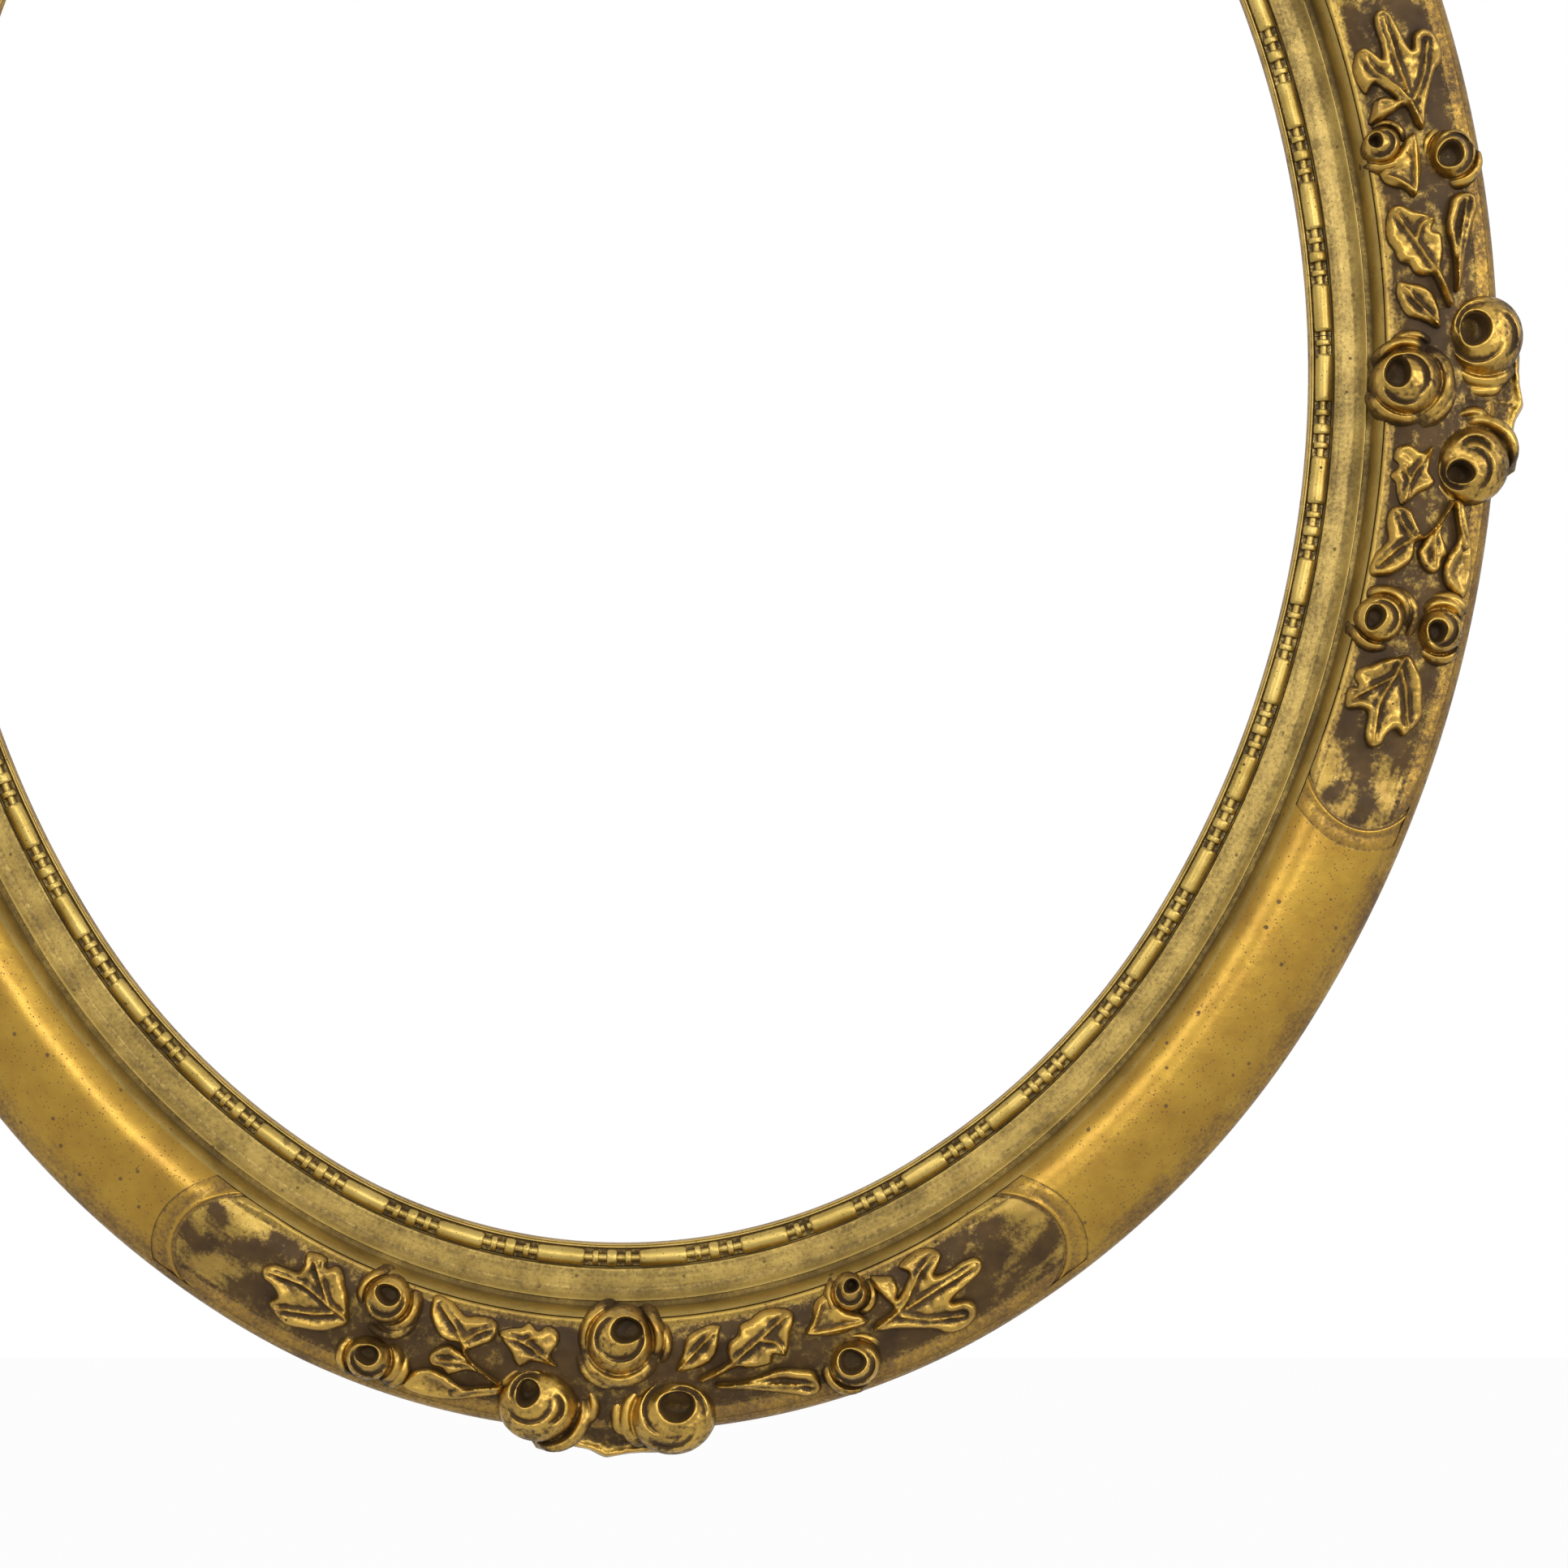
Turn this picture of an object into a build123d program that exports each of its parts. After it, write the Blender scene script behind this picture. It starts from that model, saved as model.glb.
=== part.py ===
from build123d import *
from collections import namedtuple
from math import cos, radians, degrees, sin, sqrt
import os

# Oval picture frame with a rose swag on each of its four sides.
#
# The frame hangs upright: X runs to the viewer's right, Z runs up, and its face looks towards -Y.
# The origin is the middle of the oval on the plane of the back, so the back lies in Y = 0.
# Lengths are millimetres and angles are degrees.
#
# The oval is eight arcs that run smoothly into one another, and every moulding, strip and panel is
# turned about the centres of those arcs, so they all stay parallel. Any place on the frame is told
# by the direction of the oval's outward normal there, the distance outward from the sight edge and
# the height above the back.

# Picture and oval
picture_width = 406.4
picture_height = 508.0
picture_play = 1.5
rebate_lip = 16.5
moulding_width = 50.0
side_arc_end = 32.0
top_arc_start = 58.0

# Moulding, across its width from the sight edge outward
lip_width = 1.1
bead_strip_width = 5.0
groove_width = 0.4
band_width = 5.4
cove_width = 2.6
arris_width = 0.4
quirk_width = 1.6
torus_rise_width = 10.0
torus_slope_radius = 36.0
shoulder_radius = 5.5
back_bevel = 1.5

# Moulding, heights from the back forward
rebate_depth = 8.0
lip_thickness = 2.4
lip_rise = 0.8
groove_rise = 0.6
band_rise = 2.0
band_fall = 0.4
cove_rise = 2.4
cove_sag = 0.5
quirk_drop = 0.8
foot_rise = 3.3
torus_rise = 9.5

# Sunk reserves that carry the swags
reserve_half_length = 128.3
reserve_end_radius = 22.0
reserve_band_width = 5.5
reserve_inner_margin = 1.5
reserve_outer_margin = 2.8
ground_depth = 2.6
band_sink = 0.5
panel_thickness = 2.6
panel_gap = 0.15

# Beading strip
bead_radius = 2.3
reel_radius = 2.1
long_bead_length = 12.9
reel_length = 1.6
pearl_length = 2.8
bead_gap = 2.2
bead_rounding = 0.45
strip_height = 0.9
strip_core_radius = 1.1
strip_gap = 0.15
strip_edge_rounding = 0.2
first_joint_along = 51.6

# Swags: each distance along is counted from the leaf tip, to the right with the inner edge on top
swag_half_length = 100.0
swag_arc = 60.0
rose_radius = 10.5
rose_height = 8.8
bud_radius = 7.5
bud_height = 6.5
petal_thickness = 2.6
petal_spread = 3.9
leaf_thickness = 2.2
rib_thickness = 1.1
rib_width = 1.1
tip_overhang = 7.3
tip_drop = 3.6
tip_depth = 6.0
tip_leaf_turn = 12.0
right_swag_shift = -9.0
top_swag_shift = 1.0
left_swag_shift = -4.0
bottom_swag_shift = -3.2
right_reserve_shift = -2.5
other_reserve_shift = 0.0

# Fastenings
dowel_radius = 4.0
dowel_length = 40.0
dowel_height = 9.0
dowel_spacing = 16.0
dowel_gap = 0.05
strap_width = 12.0
strap_length = 34.0
strap_thickness = 1.2
ring_wire_radius = 1.2
ring_fit = 0.06
ring_corner_radius = 2.5
ring_bar_play = 1.0
ring_lean = 2.0
hanger_angle = 18.0
screw_radius = 1.5
screw_length = 14.0
screw_fit = 0.05
screw_spacing = 15.0
screw_from_hinge = 9.0
button_width = 9.0
button_reach = 19.0
button_thickness = 1.5
button_gap = 0.1
button_inset = 7.0
button_angle = 38.0
button_head_radius = 3.3
button_head_height = 1.7
overrun = 20.0

# The outward normal at the middle of each side, and how far each sunk reserve and each swag's
# leaf tip lie from that middle
sides = {"right": 0.0, "top": 90.0, "left": 180.0, "bottom": 270.0}
reserve_shift = {side: other_reserve_shift for side in sides}
reserve_shift["right"] = right_reserve_shift
swag_shift = {
    "right": right_swag_shift,
    "top": top_swag_shift,
    "left": left_swag_shift,
    "bottom": bottom_swag_shift,
}
rail_reach = 45.0
least_turn = 0.001

# Widths and heights that follow from the sizes above
sight_half_width = picture_width / 2 + picture_play - rebate_lip
sight_half_height = picture_height / 2 + picture_play - rebate_lip
strip_out = lip_width + bead_strip_width
band_out = strip_out + groove_width
cove_out = band_out + band_width
arris_out = cove_out + cove_width
quirk_out = arris_out + arris_width
foot_out = quirk_out + quirk_width
crown_out = foot_out + torus_rise_width
seat_height = rebate_depth + lip_thickness
band_height = seat_height + band_rise
arris_height = band_height + cove_rise
quirk_height = arris_height - quirk_drop
foot_height = quirk_height + foot_rise
crown_height = foot_height + torus_rise
foot_radius = (torus_rise_width**2 + torus_rise**2) / (2 * torus_rise)
shoulder_run = moulding_width - shoulder_radius - crown_out
shoulder_lift = sqrt((torus_slope_radius - shoulder_radius) ** 2 - shoulder_run**2)
side_height = crown_height - torus_slope_radius + shoulder_lift
slope_share = torus_slope_radius / (torus_slope_radius - shoulder_radius)
shoulder_out = crown_out + slope_share * shoulder_run
shoulder_height = crown_height - torus_slope_radius + slope_share * shoulder_lift
reserve_in = foot_out + reserve_inner_margin
reserve_out = moulding_width - reserve_outer_margin
reserve_middle = (reserve_in + reserve_out) / 2
bed_depth = ground_depth + panel_thickness
bead_out = lip_width + bead_strip_width / 2
eye_radius = ring_wire_radius + ring_fit + strap_thickness


# The oval

Arc = namedtuple("Arc", "first last x z radius")


def oval_arcs():
    """The sight edge as eight arcs, each with its first and last normal direction."""
    a, b = sight_half_width, sight_half_height
    corner = (a * b) ** 2 / ((a**2 + b**2) / 2) ** 1.5
    c1, s1 = cos(radians(side_arc_end)), sin(radians(side_arc_end))
    c2, s2 = cos(radians(top_arc_start)), sin(radians(top_arc_start))
    width_left = a - corner * (c1 - c2)
    height_left = b - corner * (s2 - s1)
    scale = (1 - c1) * (1 - s2) - s1 * c2
    side = (width_left * (1 - s2) - height_left * c2) / scale
    top = (height_left * (1 - c1) - width_left * s1) / scale
    x, z = a - side + (side - corner) * c1, (side - corner) * s1
    ends = [side_arc_end, top_arc_start]
    ends += [180 - e for e in reversed(ends)] + [180 + e for e in ends] + [360 - e for e in reversed(ends)]
    centres = [(x, z, corner), (0, b - top, top), (-x, z, corner), (side - a, 0, side)]
    centres += [(-x, -z, corner), (0, top - b, top), (x, -z, corner)]
    arcs = [Arc(-side_arc_end, side_arc_end, a - side, 0, side)]
    return arcs + [Arc(ends[i], ends[i + 1], *centres[i]) for i in range(len(centres))]


arcs = oval_arcs()


def stretches(first, last):
    """The parts of the arcs between two normal directions, in order."""
    found = []
    for turn_back in (-360, 0, 360):
        for arc in arcs:
            start, stop = max(first, arc.first + turn_back), min(last, arc.last + turn_back)
            if stop - start >= least_turn / 2:
                found.append((arc, start, stop))
    return found


def arc_at(angle):
    return stretches(angle, angle + least_turn)[0][0]


def spot(angle, outward):
    """X and Z of the place with this normal direction and distance outward."""
    arc = arc_at(angle)
    reach = arc.radius + outward
    return arc.x + reach * cos(radians(angle)), arc.z + reach * sin(radians(angle))


def angle_along(start, distance, outward=crown_out):
    """The normal direction found by walking this far along the line at this distance outward."""
    sign = 1 if distance >= 0 else -1
    angle, left = start, abs(distance)
    while left > 0:
        arc, low, high = stretches(angle, angle + 90)[0] if sign > 0 else stretches(angle - 90, angle)[-1]
        turn_left = min(high - low, degrees(left / (arc.radius + outward)))
        angle += sign * turn_left
        left -= radians(turn_left) * (arc.radius + outward)
        if turn_left < high - low:
            break
    return angle


def section_plane(arc, angle):
    """A plane across the moulding: its x runs outward from the sight edge, its y forward."""
    n = (cos(radians(angle)), sin(radians(angle)))
    origin = (arc.x + arc.radius * n[0], 0, arc.z + arc.radius * n[1])
    return Plane(origin=origin, x_dir=(n[0], 0, n[1]), z_dir=(n[1], 0, -n[0]))


def face_plane(angle, outward, height):
    """A plane facing the viewer: its x runs along the frame, its y towards the picture."""
    x, z = spot(angle, outward)
    along = (-sin(radians(angle)), 0, cos(radians(angle)))
    return Plane(origin=(x, -height, z), x_dir=along, z_dir=(0, -1, 0))


def turn(section, first, last, mode=Mode.ADD):
    """Turn a section along the oval between two normal directions."""
    for arc, start, stop in stretches(first, last):
        with BuildSketch(section_plane(arc, start)) as station:
            add(section)
        axis = Axis((arc.x, 0, arc.z), (0, -1, 0))
        revolve(station.sketch, axis=axis, revolution_arc=stop - start, mode=mode)


# Sections of the moulding


def torus_height(outward):
    """Height of the torus at a distance outward, up to its shoulder."""
    reach = outward - crown_out
    radius = foot_radius if reach < 0 else torus_slope_radius
    return crown_height - radius + sqrt(radius**2 - reach**2)


def torus_line(first, last, sunk=0.0):
    """The two arcs of the torus between two distances outward, lowered by a depth."""
    crown = (crown_out, crown_height - sunk)
    TangentArc(crown, (first, torus_height(first) - sunk), tangent=(-1, 0))
    TangentArc(crown, (last, torus_height(last) - sunk), tangent=(1, 0))


def lower_outline():
    """The back, the rebate, the lip and the small members up to the quirk."""
    Polyline(
        (moulding_width, side_height),
        (moulding_width, back_bevel),
        (moulding_width - back_bevel, 0),
        (rebate_lip, 0),
        (rebate_lip, rebate_depth),
        (0, rebate_depth),
        (0, seat_height + lip_rise),
        (lip_width, seat_height + lip_rise),
        (lip_width, seat_height),
        (strip_out, seat_height),
        (strip_out, seat_height + groove_rise),
        (band_out, seat_height + groove_rise),
        (band_out, band_height - band_fall),
        (cove_out, band_height),
    )
    middle = ((cove_out + arris_out) / 2 + cove_sag, (band_height + arris_height) / 2 - cove_sag)
    ThreePointArc((cove_out, band_height), middle, (arris_out, arris_height))
    Polyline(
        (arris_out, arris_height),
        (quirk_out, arris_height),
        (quirk_out, quirk_height),
        (foot_out, quirk_height),
        (foot_out, foot_height),
    )


def shoulder_line():
    TangentArc((moulding_width, side_height), (shoulder_out, shoulder_height), tangent=(0, 1))


def rail_section():
    with BuildSketch() as section:
        with BuildLine():
            lower_outline()
            torus_line(foot_out, shoulder_out)
            shoulder_line()
        make_face()
    return section.sketch


def ground_section():
    """The moulding with its torus sunk to the ground that the swags lie on."""
    with BuildSketch() as section:
        with BuildLine():
            lower_outline()
            TangentArc((foot_out, foot_height), (reserve_in, torus_height(reserve_in)), tangent=foot_tangent())
            Line((reserve_in, torus_height(reserve_in)), (reserve_in, torus_height(reserve_in) - ground_depth))
            torus_line(reserve_in, reserve_out, ground_depth)
            Line((reserve_out, torus_height(reserve_out) - ground_depth), (reserve_out, torus_height(reserve_out)))
            slope_tangent = (torus_height(reserve_out) - crown_height + torus_slope_radius, crown_out - reserve_out)
            shoulder = (shoulder_out, shoulder_height)
            TangentArc((reserve_out, torus_height(reserve_out)), shoulder, tangent=slope_tangent)
            shoulder_line()
        make_face()
    return section.sketch


def foot_tangent():
    """The direction in which the torus leaves its foot."""
    rise = foot_height - (crown_height - foot_radius)
    return (rise, crown_out - foot_out)


def layer_section(top_sunk, bottom_sunk, margin=0.0):
    """A layer that follows the torus between two depths, across the width of the reserve."""
    first, last = reserve_in + margin, reserve_out - margin
    with BuildSketch() as section:
        with BuildLine():
            torus_line(first, last, top_sunk)
            torus_line(first, last, bottom_sunk)
            Line((first, torus_height(first) - top_sunk), (first, torus_height(first) - bottom_sunk))
            Line((last, torus_height(last) - top_sunk), (last, torus_height(last) - bottom_sunk))
        make_face()
    return section.sketch


# Reserves: the sunk bed in each rail and the panel that lies in it


def reserve_block(side, end_radius):
    """All that lies within the outline of a reserve, seen from the front."""
    half = reserve_half_length - reserve_end_radius
    middle = sides[side]
    centres = [angle_along(middle, reserve_shift[side] + way * half) for way in (-1, 1)]

    with BuildSketch() as slab:
        with Locations((reserve_middle, crown_height / 2)):
            Rectangle(moulding_width, 2 * crown_height)
    with BuildPart() as block:
        turn(slab.sketch, centres[0], centres[1])
        for angle in centres:
            with Locations(face_plane(angle, reserve_middle, crown_height / 2)):
                Cylinder(radius=end_radius, height=2 * crown_height)
    return block.part


def reserve_layer(side, top_sunk, bottom_sunk, margin=0.0):
    """A layer of the reserve, running on past both of its ends."""
    half = reserve_half_length + reserve_end_radius / 2
    first, last = [angle_along(sides[side], reserve_shift[side] + way * half) for way in (-1, 1)]
    with BuildPart() as layer:
        turn(layer_section(top_sunk, bottom_sunk, margin), first, last)
    return layer.part


def dowel_places(angle):
    """Where the dowels cross the joint between two rails."""
    for offset in (-dowel_spacing / 2, dowel_spacing / 2):
        yield face_plane(angle, reserve_middle + offset, dowel_height)


def lying_along(plane):
    """A location on the plane whose z runs along the frame, for pieces that lie in a joint."""
    return plane.location * Location((0, 0, 0), (0, 90, 0))


def make_rail(side):
    """One quarter of the wooden moulding, with its bed, dowel holes and screw holes."""
    first, last = sides[side] - rail_reach, sides[side] + rail_reach
    with BuildPart() as bed:
        add(reserve_layer(side, -overrun, bed_depth))
        add(reserve_block(side, reserve_end_radius + panel_gap), mode=Mode.INTERSECT)
    with BuildPart() as rail:
        turn(rail_section(), first, last)
        add(bed.part, mode=Mode.SUBTRACT)
        for angle in (first, last):
            for plane in dowel_places(angle):
                with Locations(lying_along(plane)):
                    hole_length = dowel_length + 2 * panel_gap
                    Cylinder(radius=dowel_radius + dowel_gap, height=hole_length, mode=Mode.SUBTRACT)
        for plane in screw_places(side):
            with Locations(plane.location * Location((0, 0, -screw_length / 2))):
                hole_length = screw_length + 2 * panel_gap
                Cylinder(radius=screw_radius + screw_fit, height=hole_length, mode=Mode.SUBTRACT)
    return rail.part


def make_panel(side):
    """The thin panel of the reserve: a sunk ground with a raised band round each end."""
    with BuildPart() as ground:
        add(reserve_layer(side, ground_depth, bed_depth, panel_gap))
        add(reserve_block(side, reserve_end_radius), mode=Mode.INTERSECT)
    with BuildPart() as band:
        add(reserve_layer(side, band_sink, bed_depth, panel_gap))
        add(reserve_block(side, reserve_end_radius), mode=Mode.INTERSECT)
        add(reserve_block(side, reserve_end_radius - reserve_band_width), mode=Mode.SUBTRACT)
    with BuildPart() as panel:
        add(ground.part)
        add(band.part)
    return panel.part


def make_dowels():
    with BuildPart() as dowels:
        for side in sides:
            for plane in dowel_places(sides[side] + rail_reach):
                with Locations(lying_along(plane)):
                    Cylinder(radius=dowel_radius, height=dowel_length)
    return dowels.part


# Beading: runs of long beads, reels and pearls on a thin strip

pattern_length = long_bead_length + 2 * reel_length + pearl_length + 4 * bead_gap
bead_line_length = sum(radians(arc.last - arc.first) * (arc.radius + bead_out) for arc in arcs)
joint_saving = pearl_length + reel_length + 2 * bead_gap
run_shares = (11, 13, 13, 13)


def strip_section():
    """A flat strip with a thin round core, which shows between the beads."""
    first, last = lip_width + strip_gap, strip_out - strip_gap
    with BuildSketch() as section:
        with BuildLine():
            top = seat_height + strip_height
            Polyline(
                (bead_out - strip_core_radius, top),
                (first + strip_edge_rounding, top),
                (first, top - strip_edge_rounding),
                (first, seat_height),
                (last, seat_height),
                (last, top - strip_edge_rounding),
                (last - strip_edge_rounding, top),
                (bead_out + strip_core_radius, top),
            )
            ThreePointArc(
                (bead_out - strip_core_radius, top),
                (bead_out, top + strip_core_radius),
                (bead_out + strip_core_radius, top),
            )
        make_face()
    return section.sketch


def make_bead(radius, length):
    """A barrel that lies along x with rounded rims, cut flat at the strip's seat."""
    with BuildPart() as bead:
        Cylinder(radius=radius, height=length, rotation=(0, 90, 0))
        fillet(bead.edges(), radius=bead_rounding)
        split(bisect_by=Plane.XY.offset(-strip_height), keep=Keep.TOP)
    return bead.part


def make_beading():
    """The four runs of beading, with the distances of their joints from the foot of the oval."""
    total_patterns = sum(run_shares)
    stretch = (bead_line_length + len(run_shares) * joint_saving) / (total_patterns * pattern_length)
    long_bead = make_bead(bead_radius, long_bead_length)
    reel = make_bead(reel_radius, reel_length)
    pearl = make_bead(bead_radius, pearl_length)
    gap = bead_gap * stretch + (stretch - 1) * (pattern_length / 4 - bead_gap)
    start = first_joint_along
    runs = []
    for patterns in run_shares:
        spots = {"long": [], "reel": [], "pearl": []}
        along = start + gap / 2
        for number in range(patterns):
            spots["long"].append(along + long_bead_length / 2)
            along += long_bead_length + gap
            spots["reel"].append(along + reel_length / 2)
            along += reel_length + gap
            if number < patterns - 1:
                spots["pearl"].append(along + pearl_length / 2)
                along += pearl_length + gap
                spots["reel"].append(along + reel_length / 2)
                along += reel_length + gap
        stop = along - gap / 2
        runs.append(make_run(start, stop, spots, {"long": long_bead, "reel": reel, "pearl": pearl}))
        start = stop
    return runs


def make_run(start, stop, spots, shapes):
    first, last = [angle_along(sides["bottom"], along, bead_out) for along in (start, stop)]
    end_gap = degrees(strip_gap / 2 / (sight_half_width + bead_out))
    with BuildPart() as run:
        turn(strip_section(), first + end_gap, last - end_gap)
        for kind, places in spots.items():
            angles = [angle_along(sides["bottom"], along, bead_out) for along in places]
            with Locations([face_plane(a, bead_out, seat_height + strip_height) for a in angles]):
                add(shapes[kind])
    return run.part


# Flowers

Flower = namedtuple("Flower", "along_share out_share size_share tilt petals")

# Each whorl is an outer edge, the curl up to its lip and the hollow behind it, as shares of the
# flower's radius and height
foot_shares = ((0.55, -1.30), (0.86, -1.12), (0.98, -0.72))
whorl_shares = (
    ((0.98, -0.72), (1.03, -0.10), (0.90, 0.54), (0.83, 0.52), (0.78, 0.36)),
    ((0.78, 0.36), (0.77, 0.64), (0.66, 0.84), (0.60, 0.81), (0.56, 0.66)),
    ((0.56, 0.66), (0.55, 0.88), (0.45, 1.0), (0.36, 0.96), (0.31, 0.80)),
)
eye_shares = ((0.31, 0.80), (0.27, 0.35), (0.0, 0.28))
petal_shares = ((0.0, -0.6), (0.75, -0.3), (1.0, 0.15), (0.72, 0.42), (0.45, 0.40), (0.0, 0.0))

roses = {
    "rose_inner": Flower(0.035, 0.45, 0.95, 14, ((-70, 110), (150, 110))),
    "rose_left": Flower(-0.168, 0.855, 1.0, 2, ((-55, 95),)),
    "rose_right": Flower(0.158, 0.885, 1.0, 2, ((140, 95),)),
}
buds = {
    "buds_left": (Flower(-0.612, 0.42, 1.05, 12, ((-75, 110),)), Flower(-0.609, 0.765, 0.94, 4, ((-30, 80),))),
    "buds_right": (Flower(0.674, 0.415, 0.86, 12, ((160, 110),)), Flower(0.635, 0.79, 1.0, 4, ())),
}


def flower_section(radius, height):
    """Half of a flower of nested whorls round a hollow eye, cut through its middle."""

    def at(share):
        return (share[0] * radius, share[1] * height)

    with BuildSketch(Plane.XZ) as section:
        with BuildLine():
            ThreePointArc(at(foot_shares[0]), at(foot_shares[1]), at(foot_shares[2]))
            for edge, curl, lip, back, hollow in whorl_shares:
                ThreePointArc(at(edge), at(curl), at(lip))
                ThreePointArc(at(lip), at(back), at(hollow))
            bottom = (0, foot_shares[0][1] * height)
            Polyline(at(eye_shares[0]), at(eye_shares[1]), at(eye_shares[2]), bottom, at(foot_shares[0]))
        make_face()
    return section.sketch


def petal_section(radius, height, first):
    """An outer petal cut through, where its curl round the flower begins."""
    inner = radius - petal_thickness / 2
    with BuildSketch(Plane.XZ.rotated((0, 0, first))) as section:
        with BuildLine():
            points = [(inner + x * petal_spread, y * height) for x, y in petal_shares]
            Polyline(*points, close=True)
        make_face()
    return section.sketch


def make_flower(flower, radius, height):
    """A flower on its own, standing on the origin, with its outer petals round it."""
    radius, height = radius * flower.size_share, height * flower.size_share
    with BuildPart() as bloom:
        revolve(flower_section(radius, height), axis=Axis.Z)
        for first, sweep in flower.petals:
            revolve(petal_section(radius, height, first), axis=Axis.Z, revolution_arc=sweep)
    return bloom.part


def flower_plane(arc_radius, flower):
    """The flower's plane on a rail bent about the origin: z runs up through its middle."""
    along, outward = flower.along_share * swag_half_length, flower.out_share * moulding_width
    angle = along / (arc_radius + crown_out)
    height = torus_height(min(outward, reserve_out)) - ground_depth
    reach = arc_radius + outward
    upright = Plane(
        origin=(reach * cos(angle), -height, reach * sin(angle)),
        x_dir=(-sin(angle), 0, cos(angle)),
        z_dir=(0, -1, 0),
    )
    return upright.rotated((-flower.tilt, 0, 0))


def make_flowers(side, flowers, radius, height):
    """One or more flowers, cut to sit on the ground and over the edges of the rail."""
    arc = arc_at(sides[side])
    lean = angle_along(sides[side], swag_shift[side])
    start = section_plane(Arc(0, 0, 0, 0, arc.radius), -swag_arc / 2)
    with BuildPart() as blooms:
        for flower in flowers:
            bloom = make_flower(flower, radius, height)
            with Locations(flower_plane(arc.radius, flower)):
                add(bloom)
        with BuildSketch(start) as section:
            add(ground_section())
        revolve(section.sketch, axis=Axis((0, 0, 0), (0, -1, 0)), revolution_arc=swag_arc, mode=Mode.SUBTRACT)
    with BuildPart() as placed:
        with Locations(Location((arc.x, 0, arc.z), (0, -lean, 0))):
            add(blooms.part)
    return placed.part


# Leaves

# One side of a leaf from root to tip, as shares of its length and half its width: each lobe is an
# arc through its outermost point to the next notch
lobe_shares = (
    ((0.0, 0.0), (0.13, 0.46), (0.30, 0.50)),
    ((0.30, 0.50), (0.42, 1.0), (0.57, 0.66)),
    ((0.57, 0.66), (0.69, 0.80), (0.80, 0.42)),
    ((0.80, 0.42), (0.92, 0.32), (1.0, 0.0)),
)
slim_shares = (((0.0, 0.0), (0.35, 0.45), (0.55, 0.80)), ((0.55, 0.80), (0.86, 0.86), (1.0, 0.0)))

# Root and tip of each leaf as shares of the swag's half length and the moulding's width, then its
# width as a share of its length, and whether it is slim
Leaf = namedtuple("Leaf", "root_shares tip_shares width_share slim")
leaves = {
    "leaves_left": (
        Leaf((-0.285, 0.735), (-0.480, 0.362), 0.46, False),
        Leaf((-0.100, 0.590), (-0.295, 0.482), 0.42, False),
        Leaf((-0.315, 0.730), (-0.458, 0.708), 0.46, False),
        Leaf((-0.270, 0.795), (-0.506, 0.878), 0.30, True),
    ),
    "leaves_right": (
        Leaf((0.220, 0.684), (0.508, 0.432), 0.40, False),
        Leaf((0.178, 0.612), (0.314, 0.450), 0.50, False),
        Leaf((0.240, 0.736), (0.528, 0.866), 0.24, True),
    ),
    "spray_left": (
        Leaf((-0.680, 0.632), (-0.862, 0.420), 0.40, False),
        Leaf((-0.680, 0.632), (-0.950, 0.594), 0.32, False),
        Leaf((-0.680, 0.632), (-0.890, 0.786), 0.38, False),
        Leaf((-0.690, 0.620), (-0.735, 0.440), 0.42, False),
    ),
    "spray_right": (
        Leaf((0.725, 0.648), (0.955, 0.440), 0.34, False),
        Leaf((0.725, 0.648), (1.040, 0.604), 0.28, False),
        Leaf((0.725, 0.648), (0.965, 0.826), 0.34, False),
        Leaf((0.728, 0.636), (0.782, 0.420), 0.36, False),
    ),
}
tip_lobe_shares = (
    ((0.0, 0.0), (0.16, 0.30), (0.42, 0.36)),
    ((0.42, 0.36), (0.66, 0.66), (0.76, 1.0)),
    ((0.76, 1.0), (0.86, 0.50), (1.0, 0.0)),
)
tip_leaf_shares = (0.80, 1.02)
leaf_slab = 2 * crown_height


def place_on(side, shares):
    """X and Z of a place in a swag."""
    angle = angle_along(sides[side], swag_shift[side] + shares[0] * swag_half_length)
    return spot(angle, shares[1] * moulding_width)


def leaf_plane(root, tip):
    """A plane on the back, facing the viewer, with x from the leaf's root to its tip."""
    return Plane(origin=(root[0], 0, root[1]), x_dir=(tip[0] - root[0], 0, tip[1] - root[1]), z_dir=(0, -1, 0))


def leaf_outline(length, half_width, lobes):
    with BuildSketch() as section:
        with BuildLine():
            for way in (1, -1):
                for points in lobes:
                    ThreePointArc(*[(x * length, way * y * half_width) for x, y in points])
        make_face()
    return section.sketch


def make_leaves(side, group, leaf_layer, rib_layer):
    """A group of leaves cast together, each a thin blade with a raised midrib."""
    with BuildPart() as blades:
        for leaf in group:
            root, tip = place_on(side, leaf.root_shares), place_on(side, leaf.tip_shares)
            length = sqrt((tip[0] - root[0]) ** 2 + (tip[1] - root[1]) ** 2)
            lobes = slim_shares if leaf.slim else lobe_shares
            with BuildSketch(leaf_plane(root, tip)):
                add(leaf_outline(length, leaf.width_share * length / 2, lobes))
            extrude(amount=leaf_slab)
        add(leaf_layer, mode=Mode.INTERSECT)
    with BuildPart() as ribs:
        for leaf in group:
            root, tip = place_on(side, leaf.root_shares), place_on(side, leaf.tip_shares)
            length = sqrt((tip[0] - root[0]) ** 2 + (tip[1] - root[1]) ** 2)
            with BuildSketch(leaf_plane(root, tip)):
                with BuildLine():
                    ends = ((rib_width, rib_width / 2), (length - rib_width, 0), (rib_width, -rib_width / 2))
                    Polyline(*ends, close=True)
                make_face()
            extrude(amount=leaf_slab)
        add(rib_layer, mode=Mode.INTERSECT)
    with BuildPart() as together:
        add(blades.part)
        add(ribs.part)
    return together.part


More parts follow.
